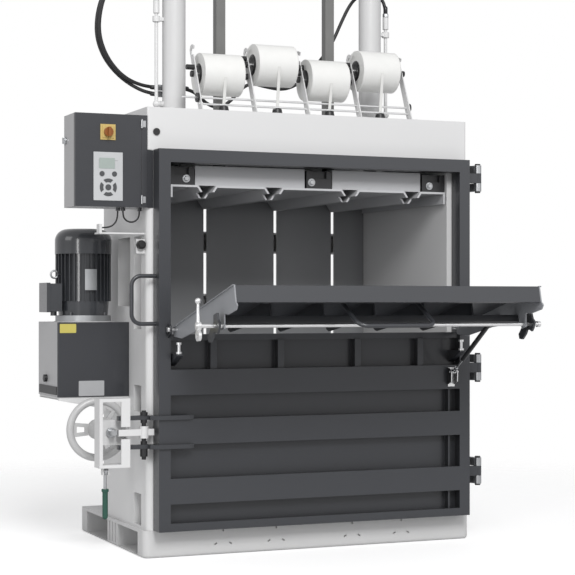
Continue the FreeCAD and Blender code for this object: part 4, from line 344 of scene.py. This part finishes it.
plain = {
    "white": ("side_wall_left", "side_wall_right", "head_beam", "guide_bushes",
              "hard_pipes", "strap_arms", "tank_shelf", "lock_frame", "clamp_bar"),
    "baseWhite": ("base_frame",),
    "wheelWhite": ("handwheel",),
    "cylinderWhite": ("hydraulic_cylinders",),
    "boxDark": ("tank_front", "cabinet_door"),
    "chamberShadeGrey": ("chamber_floor",),
    "grey": ("tank_body",),
    "plateGrey": ("press_plate",),
    "cheekGrey": ("flap_cheeks",),
    "dark": ("door_frame", "door_handle", "flap_panel", "flap_handle", "latch_claws"),
    "motor": ("fan_cowl", "terminal_box"),
    "zinc": ("door_hinges", "cabinet_hinges", "lock_spindle", "cabinet_lock", "hose_manifold"),
    "bright": ("latch_rod", "latch_lever", "strap_rods"),
    "guide": ("guide_bars",),
    "chrome": ("piston_rods", "strut_rod"),
    "black": ("strap_knobs", "black_caps"),
    "blackSteel": ("guide_shoes", "lock_pin", "strut_cylinder"),
    "yellow": ("switch_plate",),
    "red": ("switch_knob",),
    "membrane": ("keypad_panel",),
    "keys": ("keypad_keys",),
}
for look, names in plain.items():
    for name in names:
        give(name, looks[look])


def giveTwo(name, first, second, takesSecond):
    give(name, looks[first], looks[second])
    for face in nodes[name].data.polygons:
        if takesSecond(face):
            face.material_index = 1


grip = {"length": 0.110}
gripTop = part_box("release_lever")[0].z + grip["length"]
giveTwo("release_lever", "zinc", "green", lambda face: face.center.z < gripTop)

rearWall = {"grey": 0.001}  # depth of the grey painted shade, all behind it is white
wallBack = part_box("rear_wall")[0].y + rearWall["grey"]
giveTwo("rear_wall", "chamberShadeGrey", "white", lambda face: face.center.y > wallBack)

cabinetRim = {"facing": 0.5}  # faces that look to the front or the right
giveTwo("cabinet_body", "grey", "boxDark",
        lambda face: face.normal.y < -cabinetRim["facing"] or face.normal.x > cabinetRim["facing"])

clevis = {"width": 0.080, "height": 0.127, "facing": 0.3}  # the strut's bracket, at the lower right
fittingsLow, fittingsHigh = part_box("door_fittings")
clevisLeft = fittingsHigh.x - clevis["width"]
clevisTop = fittingsLow.z + clevis["height"]
giveTwo("door_fittings", "bright", "blackSteel",
        lambda face: face.center.x > clevisLeft and face.center.z < clevisTop
        and abs(face.normal.x) > clevis["facing"])

bareMotor = {"flange": 0.019, "eyeReach": 0.109, "eyeRise": 0.159}  # foot flange and lifting eye
motorLow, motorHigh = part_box("motor_body")
motorRadius = (motorHigh.y - motorLow.y) / 2
motorAxis = (motorHigh.x - motorRadius, motorLow.y + motorRadius)


def isBare(face):
    if face.center.x < motorAxis[0] - bareMotor["eyeReach"]:
        return face.center.z > motorLow.z + bareMotor["eyeRise"]
    return face.center.z < motorLow.z + bareMotor["flange"]


giveTwo("motor_body", "motor", "castSteel", isBare)

wound = {
    "cloud": (30.0, 3.0), "shades": ((0.88, 0.88, 0.86, 1.0), (0.94, 0.94, 0.92, 1.0)),
    "rough": 0.36, "spread": 0.1, "rings": 2200.0, "ringShare": 0.5, "turns": 520.0, "lean": 0.2,
    "turnShare": 0.12, "depth": 0.0002, "edge": 0.006}


def strapRoll(name, center):
    mat = Mat(name)
    x, y, z = mat.axes()
    radius = ((y - center.y) ** 2 + (z - center.z) ** 2) ** 0.5
    rings = (radius * wound["rings"]).math("SINE")
    turns = ((x + radius * wound["lean"]) * wound["turns"]).math("SINE")
    cloud = mat.noise(*wound["cloud"])
    mat.put(Base_Color=mat.blended(cloud, *wound["shades"]))
    mat.put(Roughness=wound["rough"] + cloud * wound["spread"])
    mat.bumped(rings * wound["ringShare"] + turns * wound["turnShare"], wound["depth"], wound["edge"])
    return mat.material


rollNumbers = ("1", "2", "3", "4")
for number in rollNumbers:
    low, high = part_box("strap_roll_" + number)
    give("strap_roll_" + number, strapRoll("strap_wound_" + number, (low + high) / 2))
give("strap_tails", molded("strap_flat", (0.82, 0.82, 0.80), rough=0.35, grain=500.0))
print("stage: materials")


def dressed(name, bm, body, look, smooth=False):
    mesh = bpy.data.meshes.new(name)
    bmesh.ops.recalc_face_normals(bm, faces=bm.faces)
    bm.to_mesh(mesh)
    bm.free()
    piece = bpy.data.objects.new(name, mesh)
    scene.collection.objects.link(piece)
    mesh.materials.append(looks[look])
    for face in mesh.polygons:
        face.use_smooth = smooth and len(face.vertices) == 4  # the sides, not the caps
    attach(piece, body)


sideCount = {"round": 24, "hex": 6}


def turned(name, rings, start, along, body, look, kind="round"):
    sides = sideCount[kind]
    axis = Vector(along).normalized()
    side = axis.orthogonal().normalized()
    turn = Matrix((side, axis.cross(side), axis)).transposed()
    bm = bmesh.new()
    loops = []
    for rise, radius in rings:
        angles = [2 * math.pi * i / sides for i in range(sides)]
        places = [Vector((radius * math.cos(a), radius * math.sin(a), rise)) for a in angles]
        loops.append([bm.verts.new(Vector(start) + turn @ place) for place in places])
    for lower, upper in zip(loops, loops[1:]):
        for i in range(sides):
            bm.faces.new((lower[i - 1], lower[i], upper[i], upper[i - 1]))
    bm.faces.new(loops[0])
    bm.faces.new(loops[-1])
    dressed(name, bm, body, look, smooth=kind == "round")


cornerSteps = 4


def plate(name, settings):
    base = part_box(settings["on"])[0]
    left, low = base.x + settings["place"][0], base.z + settings["place"][1]
    right, high = left + settings["size"][0], low + settings["size"][1]
    corner = settings["corner"]
    bm = bmesh.new()
    outline = []
    quarters = ((right - corner, high - corner), (left + corner, high - corner),
                (left + corner, low + corner), (right - corner, low + corner))
    for quarter, (x, z) in enumerate(quarters):
        for step in range(cornerSteps + 1):
            angle = math.radians(90 * (quarter + step / cornerSteps))
            outline.append((x + corner * math.cos(angle), z + corner * math.sin(angle)))
    back = [bm.verts.new((x, base.y, z)) for x, z in outline]
    front = [bm.verts.new((x, base.y - settings["thick"], z)) for x, z in outline]
    bm.faces.new(back)
    bm.faces.new(front)
    for i in range(len(outline)):
        bm.faces.new((back[i - 1], back[i], front[i], front[i - 1]))
    dressed(name, bm, settings["body"], settings["look"])


plates = {  # blank plates on front faces, each placed from its face's lower left corner
    "tank_plate_yellow": {
        "on": "tank_front", "place": (0.008, 0.240), "size": (0.063, 0.034), "thick": 0.001,
        "corner": 0.003, "body": "frame", "look": "plateYellow", "slot": "switch_yellow"},
    "tank_plate_pale": {
        "on": "tank_front", "place": (0.081, 0.003), "size": (0.099, 0.057), "thick": 0.001,
        "corner": 0.003, "body": "frame", "look": "bare", "slot": "panel_white"},
    "keypad_display": {
        "on": "keypad_panel", "place": (0.021, 0.116), "size": (0.059, 0.039), "thick": 0.0006,
        "corner": 0.002, "body": "cabinet_door_body", "look": "display", "slot": "panel_white"},
    # partly the cabinet's dark rim, partly painted shade: a thin dark sheet on the wall's front in the gap
    # between cabinet and door frame
    "cabinet_shade_strip": {
        "on": "side_wall_left", "place": (0.174, 1.187), "size": (0.022, 0.212), "thick": 0.001,
        "corner": 0.001, "body": "frame", "look": "boxDark", "slot": "anthracite"},
}
for name, settings in plates.items():
    plate(name, settings)

motorPlate = {"rise": 0.118, "height": 0.079, "aim": -90.0, "half": 12.5, "thick": 0.0012, "steps": 8}


def curvedPlate(name, axis, radius, low, settings):
    steps, half = settings["steps"], settings["half"]
    layer = 2 * (steps + 1)  # corners on the inner side, and as many on the outer
    bm = bmesh.new()
    for reach in (radius, radius + settings["thick"]):
        for step in range(steps + 1):
            angle = math.radians(settings["aim"] - half + 2 * half * step / steps)
            for z in (low, low + settings["height"]):
                bm.verts.new((axis[0] + reach * math.cos(angle), axis[1] + reach * math.sin(angle), z))
    bm.verts.ensure_lookup_table()
    quads = [(n, n + 1, n + 3, n + 2) for base in (0, layer) for n in range(base, base + 2 * steps, 2)]
    quads += [(n, n + 2, n + 2 + layer, n + layer) for n in range(2 * steps)]
    quads += [(n, n + 1, n + 1 + layer, n + layer) for n in (0, 2 * steps)]
    for quad in quads:
        bm.faces.new([bm.verts[n] for n in quad])
    dressed(name, bm, "frame", "castSteel")


curvedPlate("motor_plate", motorAxis, motorRadius, motorLow.z + motorPlate["rise"], motorPlate)

shoeBolt = {  # washer and head as rises and radii
    "inset": 0.068, "rise": 0.024,
    "washer": ((0.0, 0.015), (0.0018, 0.015), (0.002, 0.0144)),
    "head": ((0.0, 0.010), (0.0068, 0.010), (0.008, 0.0084))}
shoeLow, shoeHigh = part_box("guide_shoes")
columns = (shoeLow.x + shoeBolt["inset"], (shoeLow.x + shoeHigh.x) / 2, shoeHigh.x - shoeBolt["inset"])
forward = Vector((0, -1, 0))
washerTop, _ = shoeBolt["washer"][-1]
for number, x in enumerate(columns, 1):
    name = "shoe_bolt_" + str(number)
    start = Vector((x, shoeLow.y, shoeLow.z + shoeBolt["rise"]))
    onWasher = start + forward * washerTop
    turned(name + "_washer", shoeBolt["washer"], start, forward, "ram", "zinc")
    turned(name + "_head", shoeBolt["head"], onWasher, forward, "ram", "zinc", "hex")

rollCore = {"rings": ((-0.0012, 0.030), (-0.0004, 0.041), (0.0, 0.041))}  # rises and radii
for number in rollNumbers:
    low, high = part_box("strap_roll_" + number)
    middle = (low.x, (low.y + high.y) / 2, (low.z + high.z) / 2)
    turned("roll_core_" + number, rollCore["rings"], middle, (1, 0, 0), "roll_" + number, "black")
print("stage: small pieces")

fitting = {  # rings as a place along the hose and a share of its radius
    "sleeve": ((0.0, 1.5), (0.016, 1.5), (0.0165, 1.28), (0.040, 1.28), (0.046, 1.05)),
    "nut": ((0.002, 1.75), (0.014, 1.75), (0.015, 1.6)),
}


def ferrule(name, radius, first, second):
    along = Vector(second) - Vector(first)
    sleeve, nut = [[(rise, radius * share) for rise, share in fitting[part]] for part in ("sleeve", "nut")]
    turned(name + "_sleeve", sleeve, first, along, "frame", "blackSteel")
    turned(name + "_nut", nut, first, along, "frame", "zinc", "hex")


for name in ("hose_loop", "hose_tall", "hose_right"):
    points = cords[name]["points"]
    radius = cords[name]["diameter"] / 2
    ferrule(name + "_start", radius, points[0], points[1])
    ferrule(name + "_end", radius, points[-1], points[-2])
print("stage: hose fittings")


lamps = {
    "front": {"place": (-1.5, -7.5, 6.0), "aim": (0.0, 0.0, 1.5), "size": (3.0, 3.0), "power": 470.0},
    "right": {"place": (4.2, -7.0, 3.0), "aim": (0.0, 0.0, 1.0), "size": (4.0, 4.0), "power": 40.0},
    "left": {"place": (-6.5, -1.0, 3.2), "aim": (0.0, 0.0, 1.2), "size": (3.0, 3.0), "power": 50.0},
    "key": {"place": (-5.6, -6.2, 1.9), "aim": (-0.8, 0.0, 1.2), "size": (0.9, 3.0), "power": 60.0},
}
for name, settings in lamps.items():
    light = bpy.data.lights.new(name, "AREA")
    light.energy = settings["power"]
    light.shape = "RECTANGLE"
    light.size, light.size_y = settings["size"]
    lamp = bpy.data.objects.new(name, light)
    lamp.location = settings["place"]
    heading = Vector(settings["aim"]) - Vector(settings["place"])
    lamp.rotation_euler = heading.to_track_quat("-Z", "Y").to_euler()
    scene.collection.objects.link(lamp)

world = bpy.data.worlds.new("studio")
world.use_nodes = True
scene.world = world
tree = world.node_tree
background = next(n for n in tree.nodes if n.type == "BACKGROUND")
rayKind = tree.nodes.new("ShaderNodeLightPath")
studio = {  # the world as the camera sees it, as metal mirrors it and as it lights the machine
    "seen": (1.0, 1.0, 1.0, 1.0), "mirrored": (0.60, 0.60, 0.61, 1.0), "lit": (0.30, 0.30, 0.305, 1.0)}


def rayMix(ray, second):
    made = tree.nodes.new("ShaderNodeMix")
    made.data_type = "RGBA"
    made.inputs[mixSlots["second"]].default_value = second
    tree.links.new(rayKind.outputs[ray], made.inputs[mixSlots["factor"]])
    return made.inputs[mixSlots["first"]], made.outputs[mixSlots["color"]]


litSlot, mirrored = rayMix("Is Glossy Ray", studio["mirrored"])
litSlot.default_value = studio["lit"]
otherSlot, tone = rayMix("Is Camera Ray", studio["seen"])
tree.links.new(mirrored, otherSlot)
tree.links.new(tone, background.inputs["Color"])

ground = {
    "radius": 4.0, "segments": 96, "clear": 1.3, "fade": 2.2, "color": (0.90, 0.90, 0.90, 1.0),
    "rough": 0.7, "specular": 0.1, "glow": 0.45, "unlit": (0.0, 0.0, 0.0, 1.0)}
floorMesh = bpy.data.meshes.new("floor")
bm = bmesh.new()
bmesh.ops.create_circle(bm, cap_ends=True, segments=ground["segments"], radius=ground["radius"])
bm.to_mesh(floorMesh)
bm.free()
floor = bpy.data.objects.new("floor", floorMesh)
scene.collection.objects.link(floor)
floorMat = Mat("floor_pale")
across, deep, _ = floorMat.axes()
spread = (across ** 2 + deep ** 2) ** 0.5
byCamera = floorMat.node("ShaderNodeLightPath", output="Is Camera Ray")
floorMat.put(Base_Color=ground["color"], Roughness=ground["rough"], Specular_IOR_Level=ground["specular"])
floorMat.put(Emission_Color=floorMat.blended(byCamera, ground["unlit"], studio["seen"]))
floorMat.put(Emission_Strength=ground["glow"])
floorMat.put(Alpha=(1.0 - (spread - ground["clear"]) / ground["fade"]).clamped())
floor.data.materials.append(floorMat.material)
print("stage: light and floor")
